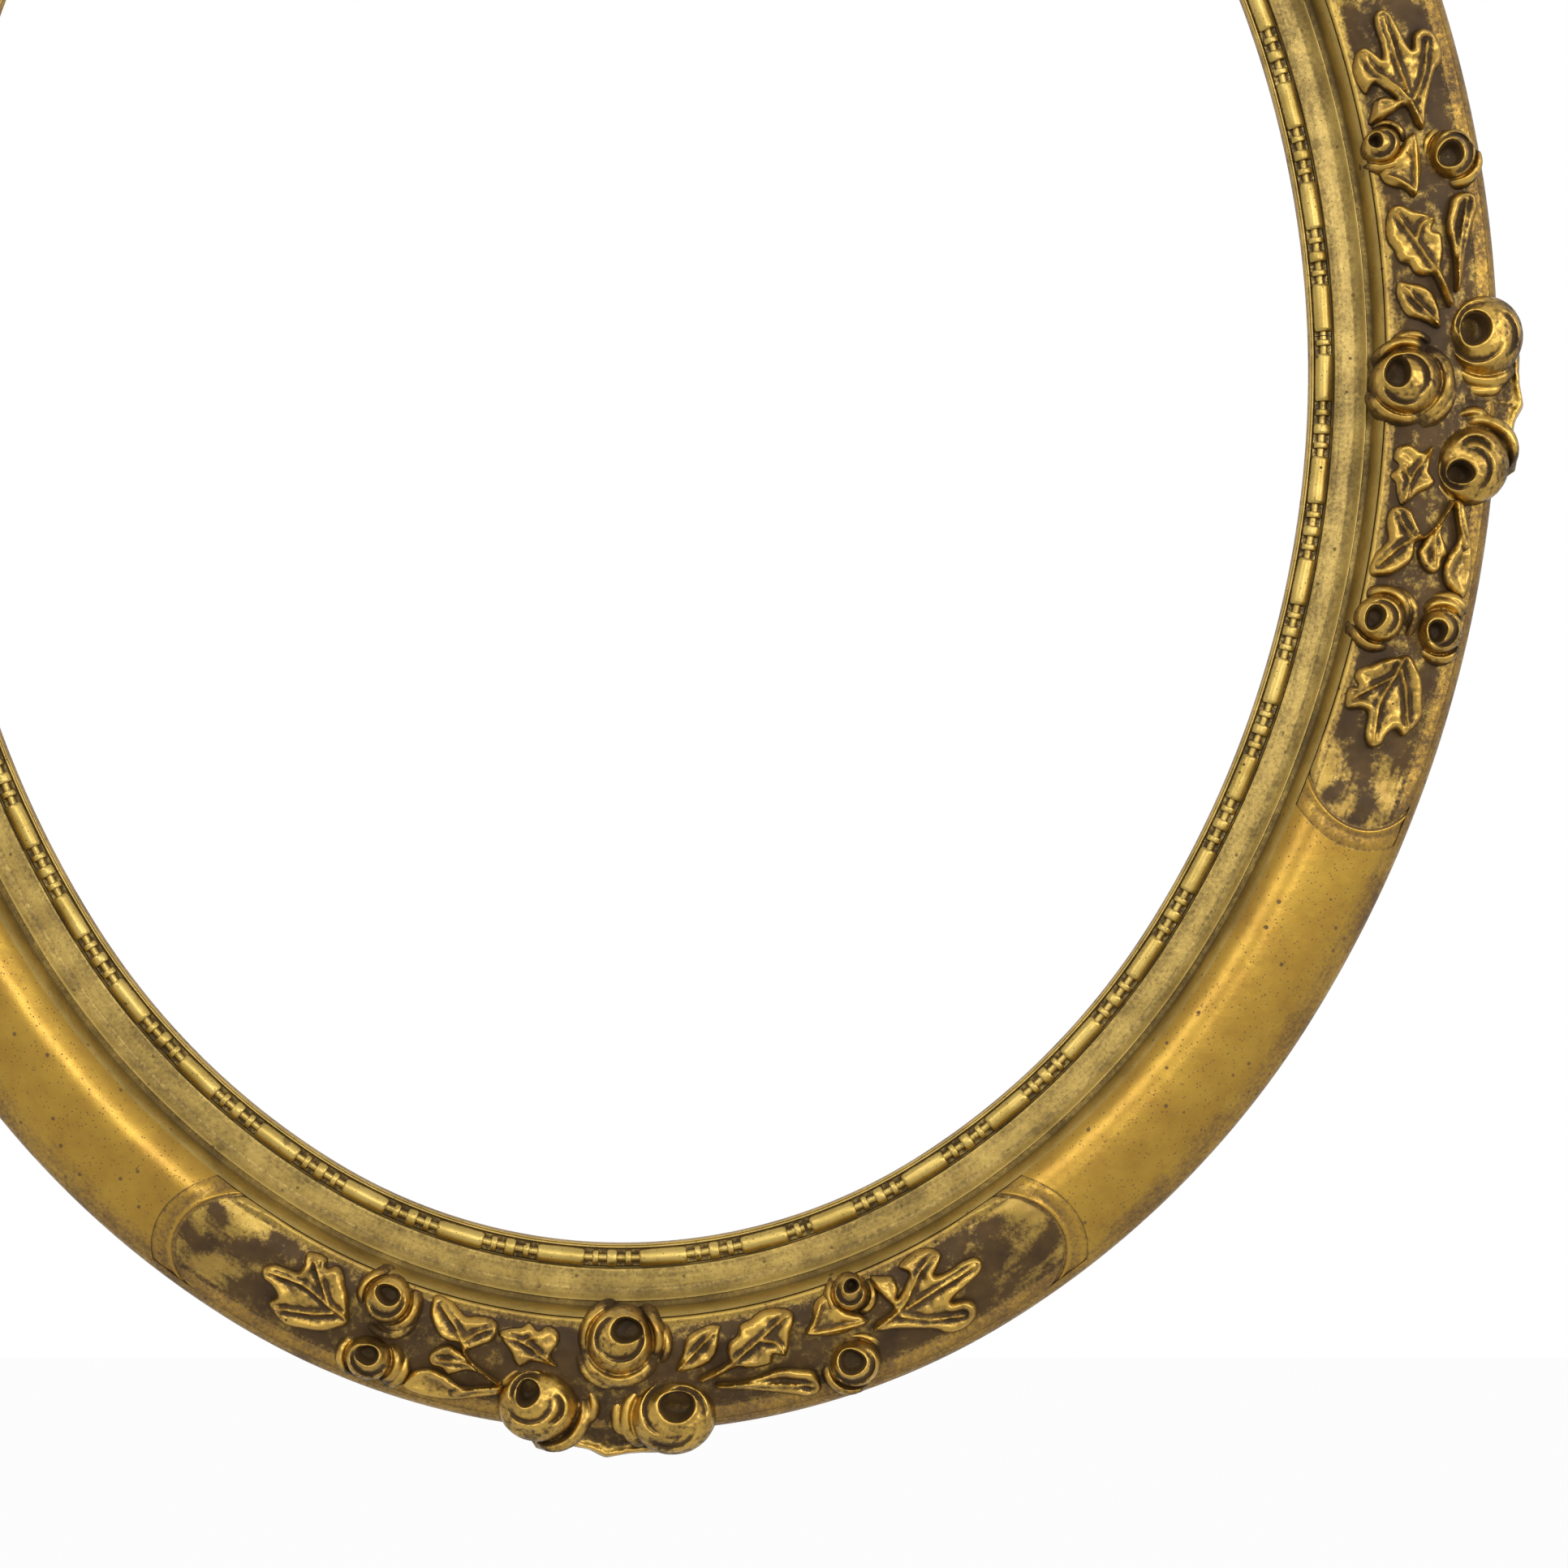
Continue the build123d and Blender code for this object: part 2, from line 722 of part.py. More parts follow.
def tip_section():
    """The tip leaf from the side: it bends down over the outer edge of the moulding."""
    root_out = tip_leaf_shares[0] * moulding_width
    ground = torus_height(root_out) - ground_depth
    end_out = moulding_width + tip_overhang
    edge_top = side_height + shoulder_radius
    with BuildSketch() as section:
        with BuildLine():
            Polyline(
                (root_out, ground + leaf_thickness),
                (moulding_width, edge_top),
                (end_out, edge_top - tip_drop),
                (end_out, edge_top - tip_drop - leaf_thickness),
                (moulding_width, edge_top - tip_depth - leaf_thickness),
                (root_out, edge_top - tip_depth - leaf_thickness),
                close=True,
            )
        make_face()
    return section.sketch


def make_tip_leaves(seats):
    """The small leaf between the two outer roses of each swag, hanging over the edge."""
    tips = []
    for side in sides:
        middle = angle_along(sides[side], swag_shift[side])
        root, tip = spot(middle, tip_leaf_shares[0] * moulding_width), spot(middle, moulding_width + tip_overhang)
        length = sqrt((tip[0] - root[0]) ** 2 + (tip[1] - root[1]) ** 2)
        with BuildPart() as leaf:
            turn(tip_section(), middle - tip_leaf_turn / 2, middle + tip_leaf_turn / 2)
            with BuildSketch(leaf_plane(root, tip)):
                add(leaf_outline(length, tip_leaf_shares[1] * length / 2, tip_lobe_shares))
            extrude(amount=leaf_slab, mode=Mode.INTERSECT)
            add(seats[side], mode=Mode.SUBTRACT)
        tips.append(leaf.part)
    with BuildPart() as group:
        for leaf in tips:
            add(leaf)
    return group.part


# Hangers, turn buttons and their screws


def back_plane(angle, outward):
    """A plane on the back of a rail that looks away from the wall side, with its y running down."""
    x, z = spot(angle, outward)
    return Plane(origin=(x, 0, z), x_dir=(1, 0, 0), z_dir=(0, 1, 0))


hanger_angles = {"right": hanger_angle, "left": 180 - hanger_angle}
button_angles = {
    "turn_button_right_top": button_angle,
    "turn_button_left_top": 180 - button_angle,
    "turn_button_left_bottom": 180 + button_angle,
    "turn_button_right_bottom": 360 - button_angle,
}


def button_plane(angle):
    """A plane on the back of a rail at a button's pivot, with its x towards the picture."""
    x, z = spot(angle, rebate_lip + button_inset)
    inward = (-cos(radians(angle)), 0, -sin(radians(angle)))
    return Plane(origin=(x, 0, z), x_dir=inward, z_dir=(0, 1, 0))


def strap_screw_places(side):
    base = back_plane(hanger_angles[side], reserve_middle)
    for number in (0, 1):
        down = screw_from_hinge + number * screw_spacing
        yield Plane(origin=(base.origin.X, 0, base.origin.Z - down), x_dir=(1, 0, 0), z_dir=(0, 1, 0))


def screw_places(side):
    """Every screw that goes into the back of this rail, as planes that look out of the back."""
    if side not in hanger_angles:
        return []
    buttons = [button_plane(angle) for name, angle in button_angles.items() if side in name]
    return list(strap_screw_places(side)) + buttons


def make_strap(side):
    """A hanger strap: a countersunk plate whose upper end is rolled round the ring's bar."""
    base = back_plane(hanger_angles[side], reserve_middle)
    with BuildPart() as strap:
        with BuildSketch(base):
            Rectangle(strap_width, strap_length - strap_width / 2, align=(Align.CENTER, Align.MIN))
            with Locations((0, strap_length - strap_width / 2)):
                Circle(strap_width / 2)
        extrude(amount=strap_thickness)
        with Locations(base.location * Location((0, 0, eye_radius))):
            Cylinder(radius=eye_radius, height=strap_width, rotation=(0, 90, 0))
            bar_hole = ring_wire_radius + ring_fit
            Cylinder(radius=bar_hole, height=strap_width, rotation=(0, 90, 0), mode=Mode.SUBTRACT)
        for plane in strap_screw_places(side):
            with Locations(plane.location):
                hole = screw_radius + screw_fit
                Cone(hole, hole + strap_thickness, strap_thickness,
                     align=(Align.CENTER, Align.CENTER, Align.MIN), mode=Mode.SUBTRACT)
    return strap.part


def make_ring(side):
    """A D-shaped wire ring folded down over its strap, leaning out a little to clear it."""
    base = back_plane(hanger_angles[side], reserve_middle)
    bar = strap_width / 2 + ring_bar_play
    bow = bar + ring_corner_radius
    with BuildPart() as wire:
        Cylinder(radius=ring_wire_radius, height=2 * bar, rotation=(0, 90, 0))
        for way in (1, -1):
            with BuildSketch(Plane(origin=(way * bar, 0, 0), x_dir=(0, 1, 0), z_dir=(way, 0, 0))):
                Circle(ring_wire_radius)
            revolve(axis=Axis((way * bar, 0, -ring_corner_radius), (0, way, 0)), revolution_arc=90)
        with BuildSketch(Plane(origin=(bow, 0, -ring_corner_radius), x_dir=(0, 1, 0), z_dir=(0, 0, -1))):
            Circle(ring_wire_radius)
        revolve(axis=Axis((0, 0, -ring_corner_radius), (0, 1, 0)), revolution_arc=180)
    with BuildPart() as ring:
        with Locations(Location((base.origin.X, eye_radius, base.origin.Z), (ring_lean, 0, 0))):
            add(wire.part)
    return ring.part


def make_button(angle):
    """A flat turn button with round ends, held by one screw and pointing over the rebate."""
    plane = button_plane(angle)
    raised = plane.offset(button_gap)
    tail = button_width / 2
    with BuildPart() as button:
        with BuildSketch(raised):
            with Locations(((button_reach - tail) / 2, 0)):
                SlotOverall(button_reach + tail, button_width)
            Circle(screw_radius + screw_fit, mode=Mode.SUBTRACT)
        extrude(amount=button_thickness)
    return button.part


def make_screws():
    """Countersunk screws through the straps and round-headed ones that hold the buttons."""
    low = (Align.CENTER, Align.CENTER, Align.MIN)
    high = (Align.CENTER, Align.CENTER, Align.MAX)
    with BuildPart() as screws:
        for side in hanger_angles:
            for plane in strap_screw_places(side):
                with Locations(plane.location):
                    Cylinder(radius=screw_radius, height=screw_length, align=high)
                    Cone(screw_radius, screw_radius + strap_thickness, strap_thickness, align=low)
        for angle in button_angles.values():
            with Locations(button_plane(angle).location):
                Cylinder(radius=screw_radius, height=screw_length, align=high)
                Cylinder(radius=screw_radius, height=2 * button_gap + button_thickness, align=low)
            head = button_plane(angle).offset(2 * button_gap + button_thickness)
            with BuildSketch(Plane(origin=head.origin, x_dir=head.x_dir, z_dir=-head.y_dir)):
                with BuildLine():
                    crown = (0, button_head_height)
                    Polyline(crown, (0, 0), (button_head_radius, 0))
                    TangentArc(crown, (button_head_radius, 0), tangent=(1, 0))
                make_face()
            revolve(axis=Axis(head.origin, head.z_dir))
    return screws.part


# Making every piece and writing it out


def write(name, piece):
    piece.label = name
    export_step(piece, f"parts/{name}.step")


def main():
    os.makedirs("parts", exist_ok=True)
    seats = {}
    for side in sides:
        write(f"rail_{side}", make_rail(side))
        write(f"panel_{side}", make_panel(side))
        with BuildPart() as seat:
            turn(ground_section(), sides[side] - rail_reach, sides[side] + rail_reach)
        seats[side] = seat.part
        for name, rose in roses.items():
            write(f"{name}_{side}", make_flowers(side, [rose], rose_radius, rose_height))
        for name, pair in buds.items():
            write(f"{name}_{side}", make_flowers(side, pair, bud_radius, bud_height))
        leaf_layer = reserve_layer(side, ground_depth - leaf_thickness, ground_depth, panel_gap)
        rib_layer = reserve_layer(side, ground_depth - leaf_thickness - rib_thickness, ground_depth, panel_gap)
        for name, group in leaves.items():
            write(f"{name}_{side}", make_leaves(side, group, leaf_layer, rib_layer))
    write("tip_leaves", make_tip_leaves(seats))
    write("rail_dowels", make_dowels())
    for number, run in enumerate(make_beading(), start=1):
        write(f"beading_run_{number}", run)
    for side in hanger_angles:
        write(f"hanger_strap_{side}", make_strap(side))
        write(f"hanger_ring_{side}", make_ring(side))
    for name, angle in button_angles.items():
        write(name, make_button(angle))
    write("back_screws", make_screws())


main()
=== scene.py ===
# %% [markdown]
# # An oval gilt picture frame
#
# The real frame is a broad half-round moulding of gilded wood, bent into an oval. A string of
# long beads, reels and pearls runs round its sight edge. On each of its four sides a shallow
# panel is sunk into the moulding, and a swag of pressed roses, buds and leaves lies in it.
# Everything is gold leaf under a thin brown toning that has stayed in the hollows and has been
# rubbed off the high places.
#
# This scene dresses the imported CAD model.

import math

import bmesh
import bpy
import numpy as np
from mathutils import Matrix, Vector, geometry, kdtree, noise


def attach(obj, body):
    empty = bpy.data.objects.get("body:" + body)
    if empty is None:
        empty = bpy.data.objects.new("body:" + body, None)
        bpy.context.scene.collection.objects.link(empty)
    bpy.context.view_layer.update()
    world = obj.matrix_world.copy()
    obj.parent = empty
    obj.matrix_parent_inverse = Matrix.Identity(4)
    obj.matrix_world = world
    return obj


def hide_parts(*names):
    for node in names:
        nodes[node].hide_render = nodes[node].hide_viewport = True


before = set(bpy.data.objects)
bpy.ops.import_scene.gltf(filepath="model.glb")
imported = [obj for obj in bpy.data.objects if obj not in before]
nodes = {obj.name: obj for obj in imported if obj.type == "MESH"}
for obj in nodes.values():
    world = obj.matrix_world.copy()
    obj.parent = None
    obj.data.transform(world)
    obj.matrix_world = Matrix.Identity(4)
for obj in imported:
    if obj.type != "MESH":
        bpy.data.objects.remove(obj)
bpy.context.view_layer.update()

# %% [markdown]
# ## The oval
#
# A turner draws an oval as arcs that run smoothly into one another. Eight arcs make this one:
# their centres and radii follow from the half width and half height of the sight edge. A place
# on the frame is then told by three numbers in millimetres: how far along the crown of the
# moulding, how far outward from the sight edge, and how far forward from the back.

# %% The eight arcs
MM = 0.001
HALF_WIDTH, HALF_HEIGHT = 188.2, 239.0  # of the sight edge
CROWN = 26.5  # how far outward the moulding's highest line runs
SIDE_TURN, CORNER_TURN = 32, 58  # degrees at which a side arc and a corner arc end


def oval_arcs():
    """The angles at which the arcs end, their centres and their radii."""
    a, b = HALF_WIDTH, HALF_HEIGHT
    corner = (a * b) ** 2 / ((a * a + b * b) / 2) ** 1.5
    c1, s1 = math.cos(math.radians(SIDE_TURN)), math.sin(math.radians(SIDE_TURN))
    c2, s2 = math.cos(math.radians(CORNER_TURN)), math.sin(math.radians(CORNER_TURN))
    wide, tall = a - corner * (c1 - c2), b - corner * (s2 - s1)
    scale = (1 - c1) * (1 - s2) - s1 * c2
    side = (wide * (1 - s2) - tall * c2) / scale
    top = (tall * (1 - c1) - wide * s1) / scale
    x, z = a - side + (side - corner) * c1, (side - corner) * s1
    half = [-SIDE_TURN, SIDE_TURN, CORNER_TURN, 180 - CORNER_TURN]
    ends = half + [180 + turn for turn in half] + [360 - SIDE_TURN]
    centres = [(a - side, 0), (x, z), (0, b - top), (-x, z)]
    centres += [(-cx, -cz) for cx, cz in centres]
    return np.radians(ends), np.array(centres), np.array([side, corner, top, corner] * 2)


ARC_ENDS, ARC_CENTRES, ARC_RADII = oval_arcs()


def line_round(outward):
    """The length of the line at an outward distance, and where each arc starts on it."""
    lengths = np.diff(ARC_ENDS) * (ARC_RADII + outward)
    starts = np.concatenate([[0.0], np.cumsum(lengths)]) - lengths[0] / 2
    return float(lengths.sum()), starts


def arc_at(along, outward, around, starts):
    """The arc that holds a distance along such a line, and the angle past the arc's start."""
    s = (along - starts[0]) % around + starts[0]
    k = np.clip(np.searchsorted(starts, s, side="right") - 1, 0, 7)
    return k, (s - starts[k]) / (ARC_RADII[k] + outward)


def on_oval(along, outward, forward):
    """Points in metres from distances in millimetres. Any of the three may be an array."""
    along, outward, forward = np.broadcast_arrays(
        np.asarray(along, float), np.asarray(outward, float), np.asarray(forward, float)
    )
    k, past = arc_at(along, CROWN, ROUND, ARC_STARTS)
    angle = ARC_ENDS[k] + past
    reach = ARC_RADII[k] + outward
    x = ARC_CENTRES[k, 0] + reach * np.cos(angle)
    z = ARC_CENTRES[k, 1] + reach * np.sin(angle)
    return np.stack([x, -forward, z], axis=-1) * MM


ROUND, ARC_STARTS = line_round(CROWN)
SIDES = {"right": 0.0, "top": ROUND / 4, "left": ROUND / 2, "bottom": 3 * ROUND / 4}
print("length round the crown:", round(ROUND, 1), "mm")

# %% [markdown]
# ## The moulding's section
#
# Outward from the sight edge come a thin lip with two fine lines, the seat of the beading, a
# groove, a flat band, a hollow that rises to a sharp edge, a narrow sunk line, and the big
# half-round, whose crown lies nearer to the picture than to the wall side. The same arcs as in
# the CAD give its height at any distance outward.

# %% Height of the half-round
FOOT_OUT, CROWN_HIGH, FOOT_RISE = 16.5, 26.8, 9.5
FOOT_RADIUS = ((CROWN - FOOT_OUT) ** 2 + FOOT_RISE**2) / (2 * FOOT_RISE)
SLOPE_RADIUS, SHOULDER_RADIUS, WIDTH = 36.0, 5.5, 50.0
SHOULDER_RUN = WIDTH - SHOULDER_RADIUS - CROWN
SHOULDER_LIFT = math.sqrt((SLOPE_RADIUS - SHOULDER_RADIUS) ** 2 - SHOULDER_RUN**2)
SIDE_HIGH = CROWN_HIGH - SLOPE_RADIUS + SHOULDER_LIFT
SHOULDER_OUT = CROWN + SLOPE_RADIUS / (SLOPE_RADIUS - SHOULDER_RADIUS) * SHOULDER_RUN


def torus_height(outward):
    """How far forward the half-round stands, from its foot to its shoulder and down its side."""
    d = np.asarray(outward, float)
    radius = np.where(d < CROWN, FOOT_RADIUS, SLOPE_RADIUS)
    reach = np.clip(d, FOOT_OUT, SHOULDER_OUT) - CROWN
    body = CROWN_HIGH - radius + np.sqrt(radius**2 - reach**2)
    past = np.clip(d, SHOULDER_OUT, WIDTH) - (WIDTH - SHOULDER_RADIUS)
    shoulder = SIDE_HIGH + np.sqrt(np.maximum(SHOULDER_RADIUS**2 - past**2, 0))
    return np.where(d > SHOULDER_OUT, shoulder, body)


# The reserve is the place of a panel, and the bed is its floor in the rail
RESERVE_IN, RESERVE_OUT, RESERVE_MIDDLE = 18.0, 47.2, 32.6
RESERVE_CENTRE, RESERVE_RADIUS = 106.3, 22.0
GROUND_DEPTH, BED_DEPTH = 2.6, 5.2
RESERVE_SHIFT = {"right": -2.5, "top": 0.0, "left": 0.0, "bottom": 0.0}
SWAG_SHIFT = {"right": -9.0, "top": 1.0, "left": -4.0, "bottom": -3.2}
RESERVES = {side: SIDES[side] + shift for side, shift in RESERVE_SHIFT.items()}
SWAGS = {side: SIDES[side] + shift for side, shift in SWAG_SHIFT.items()}
print("half-round at 18, 26.5, 47.2 mm:", torus_height([18.0, 26.5, 47.2]).round(2))


def reserve_end(outward, radius=RESERVE_RADIUS):
    """How far the round end of a reserve reaches along, at a distance outward."""
    d = np.clip(outward, RESERVE_IN, RESERVE_OUT) - RESERVE_MIDDLE
    return RESERVE_CENTRE + np.sqrt(radius**2 - d**2)


# %% [markdown]
# ## Small helpers
#
# Every piece is written as plain points and faces, then made a mesh that lies at the origin with
# its place in its points, as the CAD nodes do. Each point keeps a toning value that says how much
# of
# the brown glaze has been rubbed away: 0 in a hollow, 1 on a high place. In a few places the same
# value also carries painted shade. The materials read it.

# %% Mesh helpers
def store(mesh, name, kind, values):
    """Keeps a number or a vector for each point of a mesh."""
    layer = mesh.attributes.new(name, kind, "POINT")
    field = "vector" if kind == "FLOAT_VECTOR" else "value"
    number = np.int32 if kind == "INT" else np.float32
    layer.data.foreach_set(field, np.ravel(values).astype(number))


def link(name, data):
    """A new object in the scene."""
    made = bpy.data.objects.new(name, data)
    bpy.context.scene.collection.objects.link(made)
    return made


def make_piece(name, points, faces, toning_and_shade, finish, materials, course=None):
    """A closed, smooth object from points in metres. finish is a slot, or one for each face."""
    mesh = bpy.data.meshes.new(name)
    mesh.from_pydata([tuple(p) for p in points], [], [tuple(int(i) for i in f) for f in faces])
    store(mesh, "toning_and_shade", "FLOAT", np.clip(toning_and_shade, 0, 1))
    if course is not None:
        store(mesh, "course", "FLOAT_VECTOR", course)
    slots = np.zeros(len(faces), np.int32)
    slots[:] = finish
    mesh.polygons.foreach_set("material_index", slots)
    for material in materials:
        mesh.materials.append(material)
    bm = bmesh.new()
    bm.from_mesh(mesh)
    bmesh.ops.remove_doubles(bm, verts=bm.verts, dist=2e-6)
    bmesh.ops.dissolve_degenerate(bm, dist=1e-6, edges=bm.edges)
    bmesh.ops.recalc_face_normals(bm, faces=bm.faces)
    bm.to_mesh(mesh)
    bm.free()
    mesh.polygons.foreach_set("use_smooth", np.ones(len(mesh.polygons), bool))
    return link(name, mesh)


def join_parts(name, parts, material):
    """One object from several closed shapes, each given by points, faces and toning."""
    faces, first = [], 0
    for points, part_faces, _ in parts:
        faces += [tuple(i + first for i in face) for face in part_faces]
        first += len(points)
    points, tones = (np.concatenate([part[i] for part in parts]) for i in (0, 2))
    return make_piece(name, points, faces, tones, 0, (material,))


def grid_faces(rows, columns, close_columns=False):
    """Quads of a grid of points numbered row by row."""
    across = np.arange(columns if close_columns else columns - 1)
    r, c = np.meshgrid(np.arange(rows - 1), across, indexing="ij")
    a = r * columns + c
    b = r * columns + (c + 1) % columns
    quads = np.stack([a, b, b + columns, a + columns], axis=-1)
    return [tuple(f) for f in quads.reshape(-1, 4).tolist()]


def tube_faces(rows, columns):
    """The faces of a grid whose rows are rings, with a cap at each end."""
    caps = [tuple(range(columns))[::-1], tuple(range((rows - 1) * columns, rows * columns))]
    return grid_faces(rows, columns, close_columns=True) + caps


def slab_faces(tops, count):
    """The faces of a slab: those of its top, the same below, and walls along the open edge."""
    faces = tops + [tuple(i + count for i in f[::-1]) for f in tops]
    edges = dict.fromkeys((f[i], f[(i + 1) % len(f)]) for f in tops for i in range(len(f)))
    return faces + [(b, a, a + count, b + count) for a, b in edges if (b, a) not in edges]


def sharpen(piece, degrees):
    """Edges sharper than this stay crisp."""
    piece.data.set_sharp_from_angle(angle=math.radians(degrees))


def dress(piece, body, *stands_for):
    """The piece rides on a body and takes the place of CAD nodes."""
    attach(piece, body)
    if stands_for:
        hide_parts(*stands_for)
    return piece


def triangles(piece):
    return sum(len(p.vertices) - 2 for p in piece.data.polygons)


# %% Numbers that rise, swell and wander
def smooth_step(value, low, high):
    """0 below low, 1 above high, with an even rise between."""
    t = np.clip((np.asarray(value, float) - low) / (high - low), 0, 1)
    return t * t * (3 - 2 * t)


def hump(value, middle, width):
    """1 at the middle, falling away on both sides."""
    return np.exp(-(((value - middle) / width) ** 2))


def hand_noise(points, size, seed):
    """Soft noise between about -1 and 1 at points, with lumps of a size in the same unit."""
    shift = Vector((seed * 3.7, seed * 1.3, seed * 7.1))
    return np.array([noise.noise(Vector(p) / size + shift) for p in points])


def flat_noise(along, outward, size, seed, level=0):
    """The same noise over two arrays of distances, in their common shape."""
    points = np.stack(np.broadcast_arrays(along, outward, float(level)), -1)
    return hand_noise(points.reshape(-1, 3), size, seed).reshape(points.shape[:-1])


# %% [markdown]
# ## Colours
#
# Colours are written as the sRGB hex values that a painter would pick from the object, and one
# function turns them into the linear values that Blender mixes. The other helpers add the nodes
# that most of the materials need.

# %% Colour and node helpers
def linear(hex_colour):
    channels = [int(hex_colour[i : i + 2], 16) / 255 for i in (1, 3, 5)]
    return [c / 12.92 if c <= 0.04045 else ((c + 0.055) / 1.055) ** 2.4 for c in channels] + [1.0]


def add(tree, kind, settings=None, links=None):
    """Adds a node. settings sets its properties and sockets, and links feeds its inputs."""
    node = tree.nodes.new(kind)
    for key, value in (settings or {}).items():
        if isinstance(key, int) or key in node.inputs:
            node.inputs[key].default_value = value
        else:
            setattr(node, key, value)
    for key, source in (links or {}).items():
        tree.links.new(source, node.inputs[key])
    return node


def reckon(tree, operation, *values):
    """A sum on numbers and sockets."""
    settings, links = {"operation": operation}, {}
    for number, value in enumerate(values):
        (settings if isinstance(value, (int, float)) else links)[number] = value
    return add(tree, "ShaderNodeMath", settings, links).outputs[0]


def mottle(tree, place, scale, detail, roughness=0.5):
    """Noise: scale is in lumps for each metre."""
    settings = {"Scale": scale, "Detail": detail, "Roughness": roughness}
    return add(tree, "ShaderNodeTexNoise", settings, {"Vector": place}).outputs["Fac"]


def remap(tree, value, settings):
    """Carries one range of values over to another."""
    return add(tree, "ShaderNodeMapRange", settings, {"Value": value}).outputs[0]


def ramp(tree, source, *stops):
    """Colours between two stops, each a place and a linear colour."""
    node = add(tree, "ShaderNodeValToRGB", links={"Fac": source})
    for element, (place, colour) in zip(node.color_ramp.elements, stops):
        element.position, element.color = place, colour
    return node.outputs["Color"]


def relief(tree, height, strength, distance, below=None):
    """Shallow relief, over a coarser one if its normal is given."""
    links = {"Height": height} if below is None else {"Height": height, "Normal": below}
    settings = {"Strength": strength, "Distance": distance}
    return add(tree, "ShaderNodeBump", settings, links).outputs["Normal"]


def surface(tree, settings, links):
    return add(tree, "ShaderNodeBsdfPrincipled", settings, links).outputs[0]


def new_material(name):
    """A material and its empty tree."""
    material = bpy.data.materials.new(name)
    material.use_nodes = True
    tree = material.node_tree
    tree.nodes.clear()
    return material, tree


def object_place(tree):
    return add(tree, "ShaderNodeTexCoord").outputs["Object"]


def show(tree, shader):
    add(tree, "ShaderNodeOutputMaterial", links={"Surface": shader})


# %% [markdown]
# ## Gold leaf on gesso
#
# Water gilding is gold leaf laid on polished gesso: a metal skin a thousandth of a millimetre
# thick, so it shows every ripple of the ground below. Age and toning give it a brown veil with
# darker freckles, pin holes through to the ground and fine scratches. The leaf is a metal, and
# the toning over it is a rough, dark paint, so two shaders are mixed by how much toning is left.

# %% Gilt finishes
# Pin holes of 0.4 mm, pits of 1 mm and a few stains of 3 mm: scale, radius in it, strength
HOLES = ((760.0, 0.17, 0.85), (165.0, 0.1, 0.95), (62.0, 0.11, 0.6))


def gilt(name, leaf, deep, glaze, wear_low, wear_high, roughness, fleck=0.8):
    """Gold leaf with brown toning. leaf and deep are the bright and dull gold, glaze the toning.

    wear_low and wear_high are the toning values between which the leaf comes through, and fleck
    is the size of the holes in it."""
    material, tree = new_material(name)
    place = object_place(tree)
    # The toning value is the glaze left on the leaf, and in a few places painted shade
    toning_and_shade = add(tree, "ShaderNodeAttribute", {"attribute_name": "toning_and_shade"}).outputs["Fac"]
    # Clouds of toning about 12 mm wide, and freckles of about 0.8 mm
    cloud = mottle(tree, place, 85.0, 4.0, 0.6)
    freckle = mottle(tree, place, 900.0, 3.0, 0.7)
    clouded = reckon(tree, "MULTIPLY_ADD", cloud, 0.5, -0.25)
    freckled = reckon(tree, "MULTIPLY_ADD", freckle, 1.1, -0.55)
    rubbed = reckon(tree, "ADD", toning_and_shade, reckon(tree, "ADD", clouded, freckled))
    wear = {"From Min": wear_low, "From Max": wear_high, "interpolation_type": "SMOOTHSTEP"}
    shown = remap(tree, rubbed, wear)
    gold = ramp(tree, cloud, (0.34, linear(deep)), (0.6, linear(leaf)))
    # The holes have ragged edges, and the deepest one wins
    left = None
    for scale, reach, strength in HOLES:
        holes = add(tree, "ShaderNodeTexVoronoi", {"Scale": scale}, {"Vector": place})
        torn = reckon(tree, "MULTIPLY_ADD", freckle, 0.9 * reach, -0.45 * reach)
        away = reckon(tree, "ADD", holes.outputs["Distance"], torn)
        hidden = remap(tree, away, {
            "From Min": reach * fleck * 1.15, "From Max": reach * fleck * 0.85,
            "To Min": 1.0, "To Max": 1 - strength})
        left = hidden if left is None else reckon(tree, "MINIMUM", left, hidden)
    shown = reckon(tree, "MULTIPLY", shown, left)
    # Ripples in the gesso, and a fine tooth that breaks the gleam up
    ripple = relief(tree, mottle(tree, place, 160.0, 2.0), 0.35, 0.0006)
    skin = relief(tree, mottle(tree, place, 2600.0, 2.0), 0.3, 0.00012, ripple)
    rough = remap(tree, freckle, {"To Min": roughness + 0.12, "To Max": roughness})
    # Shellac over the leaf gives the gleam its pale heart
    metal = surface(tree, {"Metallic": 1.0, "Coat Weight": 0.2, "Coat Roughness": 0.3},
                    {"Base Color": gold, "Roughness": rough, "Normal": skin})
    veil = ramp(tree, cloud, (0.3, linear(glaze[0])), (0.7, linear(glaze[1])))
    paint = surface(tree, {"Metallic": 0.0, "Roughness": 0.5, "Specular IOR Level": 0.12},
                    {"Base Color": veil, "Normal": skin})
    mix = add(tree, "ShaderNodeMixShader", links={0: shown, 1: paint, 2: metal})
    show(tree, mix.outputs[0])
    return material


# Burnished leaf on the half-round, with the brightest gleam
gilt_moulding = gilt(
    "water_gilt_half_round", "#A78433", "#9A762D", ("#54412A", "#6E5430"), 0.05, 0.85, 0.33, 1.0)
# Matt leaf on the flat band and the hollow, rubbed along its run
gilt_sight = gilt(
    "rubbed_gilt_sight_moulding", "#AE9450", "#947C40", ("#5A4828", "#776234"), 0.05, 0.95, 0.44)
# Leaf on the pressed roses and leaves, with the darkest toning in their hollows
gilt_relief = gilt(
    "toned_gilt_relief", "#BC9846", "#967636", ("#2F2214", "#523E22"), 0.12, 0.96, 0.32, 0.6)
# Leaf on the turned beads
gilt_beads = gilt(
    "toned_gilt_beads", "#B89E56", "#A08640", ("#3F2F18", "#5C4726"), 0.12, 0.75, 0.36)
